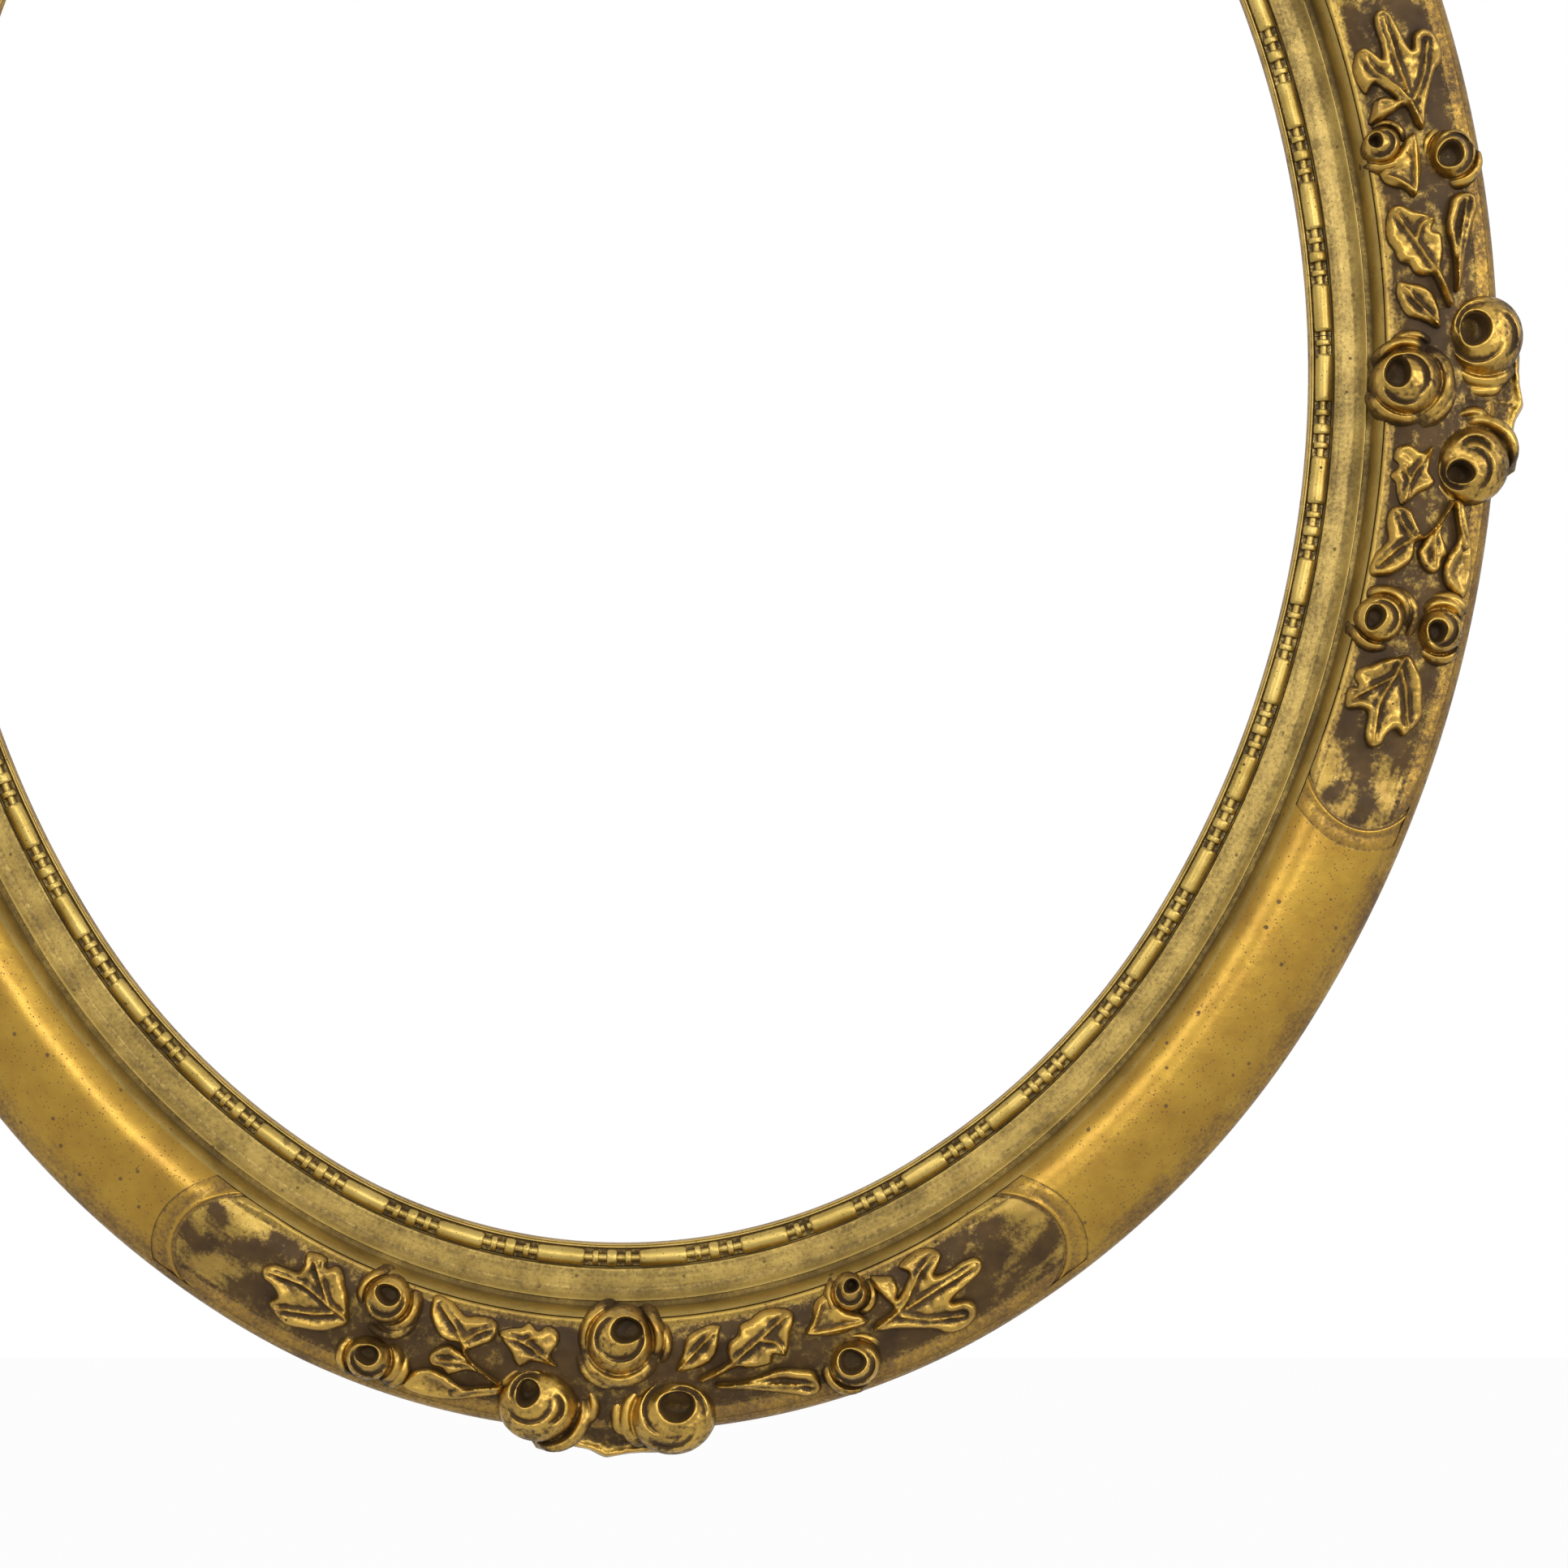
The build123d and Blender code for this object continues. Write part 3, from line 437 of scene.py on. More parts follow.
# Leaf on the ground of the panels, half hidden by toning
toned_ground = gilt(
    "rubbed_gilt_ground", "#A98C42", "#93753A", ("#392A19", "#574124"), 0.15, 0.85, 0.42)
print("gilt finishes: half-round, sight moulding, relief, beads, ground")

# %% [markdown]
# ## Bare wood at the back
#
# The back of such a frame is pine that was never gilded: pale, a little dirty, with grain along
# each rail. Wood grain is rings of slow and fast growth, so a stretched noise drives both the
# colour and a shallow bump. The rails carry a `course` value per point, the distances along,
# outward and forward, so that their grain bends with the oval. The hidden dowels are beech.

# %% Wood finishes
def plain_wood(name, light, dark, stretch, course=False):
    """Bare wood. stretch is the scale of its grain on each axis of the object or the course."""
    material, tree = new_material(name)
    place = object_place(tree)
    way = place
    if course:
        way = add(tree, "ShaderNodeAttribute", {"attribute_name": "course"}).outputs["Vector"]
    # Growth rings about 2 mm apart, drawn out along the rail
    drawn = add(tree, "ShaderNodeMapping", {"Scale": stretch}, {"Vector": way}).outputs[0]
    rings = mottle(tree, drawn, 420.0, 5.0, 0.6)
    dirt = mottle(tree, place, 30.0, 3.0)
    colour = ramp(tree, rings, (0.35, linear(dark)), (0.62, linear(light)))
    dusk = ramp(tree, dirt, (0.35, (0.72, 0.72, 0.72, 1.0)), (0.65, (1.0, 1.0, 1.0, 1.0)))
    mixed = add(tree, "ShaderNodeMix", {"data_type": "RGBA", "blend_type": "MULTIPLY", 0: 1.0},
                {6: colour, 7: dusk})
    skin = relief(tree, rings, 0.3, 0.0003)
    show(tree, surface(tree, {"Roughness": 0.72, "Specular IOR Level": 0.3},
                       {"Base Color": mixed.outputs[2], "Normal": skin}))
    return material


# Pine on the back and the inner side of the rails
bare_pine = plain_wood("bare_pine_back", "#BF9868", "#A07848", (0.05, 1.0, 1.0), course=True)
# Beech in the dowels of the joints
bare_beech = plain_wood("turned_beech_dowel", "#C79E6E", "#A87E50", (0.3, 0.3, 1.0))
print("wood finishes: pine back, beech dowel")

# %% [markdown]
# ## Fittings
#
# The strap hangers are pressed from brass-plated steel, the rings are drawn wire, the turn
# buttons are stamped brass that has dulled, and the screws are zinc-plated steel. Each is a
# metal with the fine lines of its own making.

# %% Metal finishes
def worked_metal(name, colour, dull, roughness, line_scale):
    """Drawn or stamped metal with stains. line_scale stretches its fine lines."""
    material, tree = new_material(name)
    place = object_place(tree)
    drawn = add(tree, "ShaderNodeMapping", {"Scale": line_scale}, {"Vector": place}).outputs[0]
    # Lines of drawing or stamping about 0.3 mm apart
    lines = mottle(tree, drawn, 900.0, 3.0)
    stain = mottle(tree, place, 260.0, 4.0)
    skin = ramp(tree, stain, (0.35, linear(dull)), (0.6, linear(colour)))
    rough = remap(tree, stain, {"To Min": roughness, "To Max": roughness + 0.18})
    show(tree, surface(tree, {"Metallic": 1.0}, {
        "Base Color": skin, "Roughness": rough, "Normal": relief(tree, lines, 0.2, 0.00008)}))
    return material


# Drawn steel under a thin bright brass, for the straps and the rings
plated_steel = worked_metal("brass_plated_steel", "#CDB67C", "#A08A58", 0.24, (1.0, 1.0, 0.1))
# Sheet brass that has dulled in places, for the turn buttons
stamped_brass = worked_metal("stamped_brass", "#BE9C58", "#8D7240", 0.3, (1.0, 1.0, 1.0))
# Zinc on steel, grey with faint streaks, for the screws
zinc_steel = worked_metal("zinc_plated_steel", "#C4C2BA", "#97958E", 0.28, (1.0, 0.2, 1.0))
print("metal finishes: plated steel, stamped brass, zinc-plated steel")

# %% [markdown]
# ## The four rails
#
# Each rail is a quarter of the oval. Its section is drawn once, as a closed line of points, and
# carried along the oval as a grid: one row of points for each station along, one column for each
# point of the section. Where the panel lies, the half-round is lowered to the bed. The rows bend
# so that they follow the round ends of the bed, which keeps its edge clean without a boolean.

# %% Section of the rail
GOLD, WOOD, SIGHT = 0, 1, 2  # the slots of a rail's finishes
OUTER_SIDE = ((50.0, 6.0, 0.25, GOLD),)
BACK = (
    (50.0, 1.6, 0.1), (49.9, 1.2, 0.2), (48.8, 0.1, 0.2), (48.4, 0.0, 0.2), (17.0, 0.0, 0.2),
    (16.5, 0.5, 0.2), (16.5, 8.0, 0.2))
LIP_SIDE = ((0.3, 8.0, 0.2, GOLD), (0.0, 8.3, 0.4, GOLD))
SIGHT_MOULDING = (
    # the lip with its two fine lines
    (0.0, 10.9, 0.7), (0.08, 11.12, 0.9), (0.25, 11.2, 1.0), (0.42, 11.14, 0.9), (0.5, 11.04, 0.6),
    (0.58, 11.12, 0.9), (0.76, 11.2, 1.0), (0.96, 11.17, 0.95), (1.08, 11.0, 0.7),
    # the seat of the beading and the groove outside it
    (1.1, 10.4, 0.05), (6.1, 10.4, 0.0), (6.1, 10.85, 0.0), (6.2, 11.0, 0.1), (6.4, 11.0, 0.1),
    (6.5, 11.15, 0.2), (6.5, 11.85, 0.6), (6.65, 12.05, 0.65),
    # the flat band
    (6.9, 12.12, 0.5), (7.2, 12.17, 0.45), (7.5, 12.2, 0.45), (7.8, 12.24, 0.46),
    (8.1, 12.27, 0.48), (8.4, 12.3, 0.52), (8.75, 12.32, 0.55), (9.1, 12.34, 0.6),
    (9.45, 12.36, 0.64), (9.8, 12.38, 0.68), (10.2, 12.4, 0.7), (10.6, 12.4, 0.7),
    (11.0, 12.41, 0.7), (11.3, 12.41, 0.68), (11.6, 12.42, 0.65), (11.9, 12.4, 0.45),
    # the hollow and its sharp edge
    (12.15, 12.5, 0.42), (12.4, 12.62, 0.42), (12.7, 12.82, 0.46), (13.0, 13.05, 0.52),
    (13.3, 13.32, 0.58), (13.6, 13.62, 0.62), (14.1, 14.2, 0.75), (14.45, 14.68, 0.95),
    (14.6, 14.8, 1.0), (14.8, 14.8, 1.0),
    # the sunk line
    (14.9, 14.68, 0.7), (14.94, 14.2, 0.35), (15.1, 14.02, 0.3), (16.3, 14.02, 0.25))


def rail_section():
    """Columns of (outward, forward, toning, finish), from the half-round's foot outward, with
    painted shade in the outer toning.
    """
    section = [(16.5, 14.25, 0.3, SIGHT), (16.5, 17.0, 0.8, SIGHT)]

    def follow(outward, toning_and_shade, finish=GOLD):
        section.append((float(outward), float(torus_height(outward)), toning_and_shade, finish))

    for share in (0.0, 0.3, 0.65):
        follow(FOOT_OUT + (RESERVE_IN - FOOT_OUT) * share, 1.0, SIGHT)
    rise = CROWN - (CROWN - RESERVE_IN) * (1 - np.linspace(0, 1, 17)) ** 1.25
    fall = np.linspace(CROWN, RESERVE_OUT, 26)[1:]
    # Past 38 mm the toning falls towards the outer edge: painted shade on the half-round's outer
    # slope
    for d in np.concatenate([rise, fall]):
        follow(d, 0.9 - 0.5 * float(smooth_step(d, 38, 48)))
    # The shoulder keeps the same painted shade
    for d in (47.5, 48.1, 48.7, 49.2, 49.6, 49.85, 49.97):
        follow(d, 0.38)
    section += [(50.0, SIDE_HIGH - 0.6, 0.34, GOLD), *OUTER_SIDE]
    section += [(*p, WOOD) for p in BACK] + list(LIP_SIDE)
    return section + [(*p, SIGHT) for p in SIGHT_MOULDING]


# The joints lie where the outward normal points halfway between two sides
JOINTS = [
    float(ARC_STARTS[k] + (math.radians(turn) - ARC_ENDS[k]) * (ARC_RADII[k] + CROWN))
    for k, turn in ((1, 45), (3, 135), (5, 225), (7, 315))
]
RAIL_ENDS = dict(zip(SIDES, zip([JOINTS[3] - ROUND, *JOINTS], JOINTS)))
PLAIN_ROWS, BED_ROWS = 46, 90


def make_rail(side):
    """One rail: plain moulding, the bed of its panel, and plain moulding again."""
    section = rail_section()
    out, high, tone, finish = (np.array([p[i] for p in section]) for i in range(4))
    in_bed = (out >= RESERVE_IN - 1e-6) & (out <= RESERVE_OUT + 1e-6) & (high > 15)
    first_bed, last_bed = np.flatnonzero(in_bed)[[0, -1]]
    # The bed's long edges need two points each, one above the other
    edges = [first_bed, last_bed + 1]
    columns = np.insert(np.arange(len(out)), edges, [first_bed, last_bed])
    lowered = np.insert(in_bed.astype(float), edges, [0.0, 0.0])
    out, high, tone, finish = out[columns], high[columns], tone[columns], finish[columns]
    middle, reach = RESERVES[side], reserve_end(out)
    low_end, high_end = middle - reach, middle + reach
    start, stop = RAIL_ENDS[side]
    spread = 1 - (1 - np.linspace(0, 1, PLAIN_ROWS)) ** 1.6
    rows = [start + (low_end - start) * t for t in spread]
    rows += [low_end + (high_end - low_end) * t for t in np.linspace(0, 1, BED_ROWS)]
    rows += [stop + (high_end - stop) * t for t in spread[::-1]]
    along = np.array(rows)
    in_reserve = np.repeat([0.0, 1.0, 0.0], [PLAIN_ROWS, BED_ROWS, PLAIN_ROWS])[:, None]
    points = on_oval(along, out, high - in_reserve * lowered * BED_DEPTH)
    # Rubbing went along the frame, so the toning is streaky that way
    streaks = flat_noise(along / 16, out / 0.55, 1.0, 21)
    broad = flat_noise(along / 40, out / 5, 1.0, 23)
    faces = tube_faces(len(rows), len(out))
    slots = list(np.tile(finish, len(rows) - 1)) + [WOOD, WOOD]
    course = np.stack(np.broadcast_arrays(along, out, high), -1) * MM
    rail = make_piece(
        f"gilt_rail_{side}", points.reshape(-1, 3), faces,
        (tone + 0.18 * streaks + 0.12 * broad).ravel(), slots,
        (gilt_moulding, bare_pine, gilt_sight), course)
    sharpen(rail, 38)
    return dress(rail, "frame", f"rail_{side}")


for side in SIDES:
    rail = make_rail(side)
    print(rail.name, triangles(rail), "triangles")

# %% [markdown]
# ## Where the ornament lies
#
# The leaves of one swag are drawn by their outlines and ribs. They come before the panels,
# because a panel's ground is darkened beside them, partly by thick toning and partly by painted
# shadow.

# %% Outlines of one swag, in millimetres: along from the leaf tip, outward from the sight edge
LEAVES = {
    # for each leaf: its outline, its ribs, its height and how deep its blade is hollowed
    "leaves_left": (
        (((-26.8, 37.4), (-30.2, 35.8), (-34.2, 33.6), (-36.9, 31.0), (-35.1, 29.4), (-33.2, 28.2),
          (-30.9, 26.8), (-30.0, 24.4), (-30.3, 22.2), (-32.7, 21.0), (-36.1, 21.2), (-39.1, 21.9),
          (-41.4, 20.9), (-43.5, 19.6), (-46.0, 18.6), (-48.3, 18.3), (-49.6, 19.2), (-49.6, 21.1),
          (-48.9, 23.8), (-47.0, 26.4), (-44.5, 28.6), (-42.0, 29.2), (-39.4, 29.1), (-37.4, 32.0),
          (-34.5, 34.8), (-30.7, 37.0), (-27.3, 38.6)),
         (((-46.4, 20.6), (-41.6, 24.4), (-38.0, 28.6), (-34.2, 33.1), (-30.2, 36.3),
           (-26.8, 37.9)),
          ((-38.4, 28.1), (-35.1, 25.1), (-32.2, 23.4))), 3.1, 0.6),
        (((-13.0, 31.1), (-14.9, 28.1), (-13.0, 24.6), (-13.9, 21.8), (-16.9, 20.9), (-19.1, 22.4),
          (-21.8, 20.6), (-23.8, 22.0), (-26.8, 22.6), (-29.7, 24.2), (-27.9, 26.4), (-25.8, 28.6),
          (-24.3, 31.2), (-22.3, 32.4), (-19.9, 30.6), (-16.9, 30.6)),
         (((-28.7, 24.5), (-22.8, 25.6), (-17.9, 28.1), (-13.5, 30.6)),
          ((-22.8, 25.6), (-19.5, 23.4))), 2.0, 1.0),
        (((-32.2, 36.1), (-34.2, 34.2), (-37.1, 32.0), (-39.1, 30.9), (-42.0, 30.2), (-45.0, 32.1),
          (-46.3, 34.8), (-45.0, 37.0), (-42.3, 37.2), (-40.6, 38.4), (-38.4, 37.6), (-35.8, 36.0)),
         (((-44.0, 34.9), (-39.6, 34.4), (-35.6, 34.0), (-32.7, 35.6)),), 2.5, 0.8),
        (((-26.8, 38.2), (-31.7, 39.6), (-36.6, 40.8), (-40.6, 38.8), (-44.5, 38.0), (-48.0, 39.2),
          (-50.4, 42.6), (-51.0, 45.6), (-47.5, 46.9), (-42.5, 46.7), (-37.6, 45.6), (-31.7, 43.2),
          (-26.8, 41.0)),
         (((-27.3, 39.1), (-32.7, 40.6), (-37.6, 43.4)),), 2.7, 1.4)),
    "leaves_right": (
        (((23.8, 34.6), (28.4, 32.6), (32.0, 31.0), (31.9, 28.6), (32.8, 26.2), (35.4, 24.6),
          (36.6, 22.4), (39.8, 21.4), (43.2, 20.0), (47.2, 20.2), (50.1, 21.0), (51.7, 22.6),
          (51.4, 24.6), (49.7, 27.2), (48.6, 30.0), (46.8, 33.0), (44.0, 31.8), (43.0, 34.0),
          (39.8, 34.4), (36.3, 34.0), (33.9, 33.2), (29.4, 34.8), (24.5, 36.2)),
         (((24.5, 35.2), (30.4, 32.9), (36.3, 29.6), (42.3, 26.2), (49.2, 22.4)),
          ((41.3, 27.0), (45.2, 28.6), (46.6, 31.6))), 3.1, 0.6),
        (((18.1, 32.1), (20.1, 27.6), (21.5, 23.9), (24.5, 22.0), (28.1, 21.2), (31.2, 21.8),
          (30.4, 24.6), (30.0, 27.0), (28.1, 30.0), (25.5, 31.6), (21.5, 32.4)),
         (((18.6, 31.6), (23.5, 27.6), (28.9, 23.1)),), 2.0, 1.0),
        (((28.0, 36.9), (33.4, 37.2), (39.3, 36.8), (44.2, 36.0), (49.2, 37.4), (52.5, 39.2),
          (53.4, 42.6), (52.7, 45.8), (49.6, 46.4), (46.2, 44.6), (40.3, 41.9), (34.4, 40.0),
          (28.4, 38.6)),
         (((28.4, 37.6), (35.4, 38.4), (43.2, 40.2), (51.1, 43.1)),), 2.7, 1.4)),
    "spray_left": (
        (((-68.6, 33.0), (-69.7, 30.6), (-70.6, 28.1), (-73.1, 24.6), (-75.6, 21.6), (-78.0, 21.2),
          (-80.0, 22.6), (-81.0, 20.6), (-84.0, 20.5), (-86.7, 21.6), (-85.9, 24.6), (-86.4, 27.0),
          (-89.4, 27.6), (-92.8, 28.4), (-94.8, 30.6), (-93.4, 33.2), (-90.5, 33.8), (-88.1, 35.6),
          (-89.2, 38.4), (-86.4, 40.6), (-83.0, 41.9), (-79.0, 40.8), (-74.1, 39.0), (-71.1, 36.6),
          (-69.2, 34.6)),
         (((-69.2, 32.1), (-75.1, 31.1), (-83.0, 29.1), (-92.8, 30.4)),
          ((-75.1, 31.1), (-80.0, 25.6), (-83.5, 22.1)),
          ((-73.1, 32.6), (-79.0, 35.6), (-86.9, 38.6))), 2.9, 1.0),),
    "spray_right": (
        (((70.8, 34.1), (71.8, 32.1), (77.3, 30.4), (76.2, 26.6), (74.8, 22.6), (75.2, 20.2),
          (77.8, 21.2), (80.7, 22.6), (81.0, 25.6), (79.5, 28.2), (82.7, 26.0), (85.1, 23.6),
          (83.3, 21.0), (87.1, 19.6), (90.6, 19.4), (94.0, 20.8), (95.5, 23.0), (93.3, 25.4),
          (91.2, 27.0), (94.5, 27.8), (99.4, 27.6), (102.8, 28.4), (103.8, 30.6), (102.0, 32.6),
          (97.9, 33.8), (93.9, 34.6), (91.6, 35.8), (95.1, 37.2), (96.7, 40.0), (95.1, 43.2),
          (91.2, 44.6), (87.2, 43.6), (84.7, 40.6), (80.7, 38.2), (75.8, 35.8)),
         (((71.8, 33.1), (79.7, 30.6), (87.6, 24.6), (93.5, 22.1)),
          ((80.7, 31.6), (90.6, 30.6), (101.4, 30.1)),
          ((78.7, 33.1), (85.6, 37.6), (92.5, 40.6))), 2.9, 1.0),),
}
# The leaf that cups the outer bud on the right
SEPAL = (
    ((53.3, 28.6), (55.7, 25.8), (57.2, 22.6), (59.4, 20.8), (63.0, 20.6), (64.9, 24.6),
     (68.9, 28.6), (69.9, 31.0), (64.9, 31.6), (59.0, 31.0)),
    (((54.1, 28.4), (57.6, 24.6), (59.6, 21.8)), ((54.1, 28.6), (61.0, 29.6), (68.9, 30.6))),
    2.8, 0.8)
# Middles and radii of the flowers, for the toning and the painted shadow beside them
ROUND_ORNAMENT = (
    (3.6, 23.7, 10.0), (-17.0, 42.6, 10.6), (16.2, 45.2, 11.0), (-61.0, 23.8, 7.4),
    (-60.5, 40.6, 6.8), (68.4, 22.2, 6.0), (63.2, 40.6, 7.0))


def near_ornament(along, outward):
    """Distance in millimetres to the nearest edge of a leaf or flower, 0 inside a flower."""
    loops = [np.array(leaf[0]) for leaf in (*sum(LEAVES.values(), ()), SEPAL)]
    steps = (0, 0.25, 0.5, 0.75)
    spots = np.concatenate([p + (np.roll(p, -1, axis=0) - p) * t for p in loops for t in steps])
    tree = kdtree.KDTree(len(spots))
    for i, spot in enumerate(spots):
        tree.insert((spot[0], spot[1], 0), i)
    tree.balance()
    near = np.array([tree.find((a, d, 0))[2] for a, d in zip(along.ravel(), outward.ravel())])
    near = near.reshape(along.shape)
    for a, d, radius in ROUND_ORNAMENT:
        near = np.minimum(near, np.maximum(np.hypot(along - a, outward - d) - radius, 0))
    return near


# %% [markdown]
# ## The four sunk panels
#
# A panel is a thin strip that lies in the bed. Round each end runs a raised band: a fine incised
# line, a low convex moulding and a bright inner crest, from which the ground slopes away. Along
# its two long edges stands a thin bright fillet. The grid's rows again follow the round ends, so
# each of these lines is one row of points.

# %% Panel
BAND_ROWS = (
    # radius of the round end, how far it lies below the half-round, toning
    (21.98, 5.0, 0.2), (21.98, 0.3, 0.4), (21.8, 0.36, 0.3), (21.4, 0.34, 0.55), (20.9, 0.26, 0.62),
    (20.2, 0.24, 0.58), (19.6, 0.28, 0.5), (18.8, 0.42, 0.45), (18.1, 0.5, 0.42), (17.5, 0.42, 0.6),
    (17.1, 0.24, 0.8), (16.8, 0.24, 0.85), (16.6, 0.36, 0.6), (16.4, 0.62, 0.3), (16.2, 0.9, 0.28),
    (15.8, 1.1, 0.35))
INNER_EDGE = (
    # distance from the inner edge, extra height over the ground, toning
    (0.16, -2.4, 0.0), (0.16, 1.9, 0.3), (0.3, 2.1, 0.75), (0.6, 2.1, 0.85), (1.0, 1.8, 0.75),
    (1.5, 1.2, 0.6), (2.1, 0.6, 0.5), (2.7, 0.22, 0.4), (3.3, 0.0, 0.35))
OUTER_EDGE = (
    (0.02, -2.4, 0.3), (0.02, 2.5, 0.34), (0.4, 2.42, 0.34), (1.0, 2.15, 0.36), (1.7, 1.7, 0.36),
    (2.5, 1.15, 0.34), (3.3, 0.65, 0.32), (4.1, 0.28, 0.3), (5.0, 0.0, 0.3))
END_DEPTH, SIDE_DEPTH = 1.1, 5.0  # of the ground beside a band, and of the panel's own sides
GROUND_ROWS, GROUND_COLUMNS = 258, 48
POLISHED_RIM = 4.0  # this much of the outer fillet is burnished like the half-round


def panel_rows(out):
    """Each row's place along, its depth, its toning, and whether it belongs to a band."""
    bands = [(reserve_end(out, radius), depth, tone, True) for radius, depth, tone in BAND_ROWS]
    last = bands[-1][0]
    ground = []
    for t in np.linspace(0, 1, GROUND_ROWS + 2)[1:-1]:
        from_end = (1 - abs(2 * t - 1)) * float(last.mean())
        depth = END_DEPTH + (GROUND_DEPTH - END_DEPTH) * float(smooth_step(from_end, 1, 15))
        ground.append((-last + 2 * last * t, depth, 0.35, False))
    return [(-along, *rest) for along, *rest in bands] + ground + bands[::-1]


def ground_toning_and_shade(along, out, beside):
    """Toning of the ground and its grit. It is dark beside the ornament, thick toning with painted
    shadow, and lighter farther off.
    """
    patch = flat_noise((along + 5 * np.sin(out / 6)) / 9, (out + 4 * np.sin(along / 8)) / 7, 1.0, 3)
    grit = flat_noise(along, out, 2.3, 17)
    streak = flat_noise(along / 9, (out + 0.035 * along) / 1.3, 1.0, 11)
    # Beside the ornament the ground is darkened by thick toning and a painted shadow, clearing over
    # 2.5 to 15 mm
    clear_of_toning_and_shade = smooth_step(beside, 2.5, 15.0)
    edges = smooth_step(np.abs(out - RESERVE_MIDDLE), 9.0, 13.5) * smooth_step(beside, 0.5, 3.0)
    scuffs = smooth_step(streak, 0.12, 0.4) * smooth_step(beside, 3.0, 8.0)
    tone = 0.10 + 0.45 * clear_of_toning_and_shade + 0.24 * edges - 0.2 * scuffs
    return tone + (0.45 + 0.75 * clear_of_toning_and_shade) * patch + (0.4 - 0.3 * clear_of_toning_and_shade) * grit, grit


def make_panel(side):
    """A strip with its bands, fillets and ground, and a flat underside in the bed."""
    inner = [(RESERVE_IN + d, extra, tone) for d, extra, tone in INNER_EDGE]
    outer = [(RESERVE_OUT - d, extra, tone) for d, extra, tone in OUTER_EDGE[::-1]]
    across = np.linspace(inner[-1][0], outer[0][0], GROUND_COLUMNS + 2)[1:-1]
    columns = inner + [(d, 0.0, 0.35) for d in across] + outer
    out, extra, edge_tone = (np.array([c[i] for c in columns]) for i in range(3))
    rows = panel_rows(out)
    along = np.array([row[0] for row in rows])
    depth, band_tone, is_band = (np.array([row[i] for row in rows])[:, None] for i in (1, 2, 3))
    # In the bands the long fillets are flattened; on the ground they stand up from it
    wall = extra < -1
    rise = np.where(is_band, np.where(wall, extra, 0.0), extra)
    sunk = np.minimum(np.maximum(depth - rise, np.where(wall, SIDE_DEPTH, 0.05)), SIDE_DEPTH)
    middle = RESERVES[side]
    beside = near_ornament(along - (SWAGS[side] - middle), out + 0 * along)
    # The ground's toning carries a painted shadow beside the ornament
    ground_tone_and_shade, grit = ground_toning_and_shade(along, out, beside)
    is_ground = ~is_band & (np.abs(extra) < 0.2)
    tone = np.where(is_ground, ground_tone_and_shade, np.where(is_band, band_tone, edge_tone))
    high = torus_height(out) - sunk + np.where(is_ground, 0.25 * grit, 0.0)
    top = on_oval(middle + along, out, high).reshape(-1, 3)
    under = on_oval(middle + along, out, torus_height(out) - BED_DEPTH).reshape(-1, 3)
    tops = grid_faces(len(rows), len(out))
    faces = slab_faces(tops, len(top))
    burnished = (is_band[:-1] & is_band[1:]) | (out[:-1] > RESERVE_OUT - POLISHED_RIM)
    slots = list(burnished.astype(int).ravel()) + [0] * (len(faces) - len(tops))
    panel = make_piece(
        f"sunk_panel_{side}", np.concatenate([top, under]), faces,
        np.concatenate([tone.ravel(), np.zeros(len(under))]), slots, (toned_ground, gilt_moulding))
    sharpen(panel, 50)
    return dress(panel, "frame", f"panel_{side}")


for side in SIDES:
    panel = make_panel(side)
    print(panel.name, triangles(panel), "triangles")

# %% [markdown]
# ## Leaves
#
# The leaves were pressed in moulds: each has a raised rim that caught the light when the toning
# was rubbed back, a hollow blade and a strong midrib. A leaf is drawn by its outline and its
# ribs. The outline is smoothed, its inside is filled with points, and each point's height comes
# from how near it is to the rim and to a rib.

# %% Filling a leaf with points
LINE_STEP, FILL_STEP, CELL = 0.35, 0.5, 0.16
RIM_ROWS, RIB_ROWS = (0.22, 0.5, 0.85, 1.25), (0.3, -0.3, 0.65, -0.65)


def smooth_line(points, closed=False):
    """A rounded line through the points, with a point every LINE_STEP or so."""
    p = np.array(points, float)
    if closed:
        p = np.vstack([p[-1], p, p[:2]])
    else:
        p = np.vstack([2 * p[0] - p[1], p, 2 * p[-1] - p[-2]])
    line, last = [], len(p) - 4
    for i in range(last + 1):
        a, b, c, d = p[i : i + 4]
        bend, twist = 2 * a - 5 * b + 4 * c - d, 3 * b - a - 3 * c + d
        steps = max(2, int(np.linalg.norm(c - b) / LINE_STEP))
        for t in np.arange(steps + (i == last and not closed)) / steps:
            line.append(0.5 * (2 * b + (c - a) * t + bend * t**2 + twist * t**3))
    return np.array(line)


def line_distance(points, line, closed=False):
    """Shortest distance from each point to a line of points."""
    a = line if closed else line[:-1]
    b = np.roll(line, -1, axis=0) if closed else line[1:]
    ab = b - a
    length2 = np.maximum((ab**2).sum(1), 1e-12)
    t = np.clip(((points[:, None, :] - a[None]) * ab[None]).sum(2) / length2[None], 0, 1)
    near = a[None] + t[..., None] * ab[None]
    return np.sqrt(((points[:, None, :] - near) ** 2).sum(2)).min(1)


def inside(points, loop):
    """Whether each point lies inside a closed line."""
    x, y = points[:, 0][:, None], points[:, 1][:, None]
    (ax, ay), (bx, by) = loop.T[:, None], np.roll(loop, -1, axis=0).T[:, None]
    crosses = (ay > y) != (by > y)
    at = ax + (y - ay) * (bx - ax) / np.where(by == ay, 1e-12, by - ay)
    return (crosses & (x < at)).sum(1) % 2 == 1


def beside_line(step):
    """The unit vector to the left of each step of a line."""
    length = np.maximum(np.linalg.norm(step, axis=1), 1e-9)[:, None]
    return np.stack([-step[:, 1], step[:, 0]], 1) / length


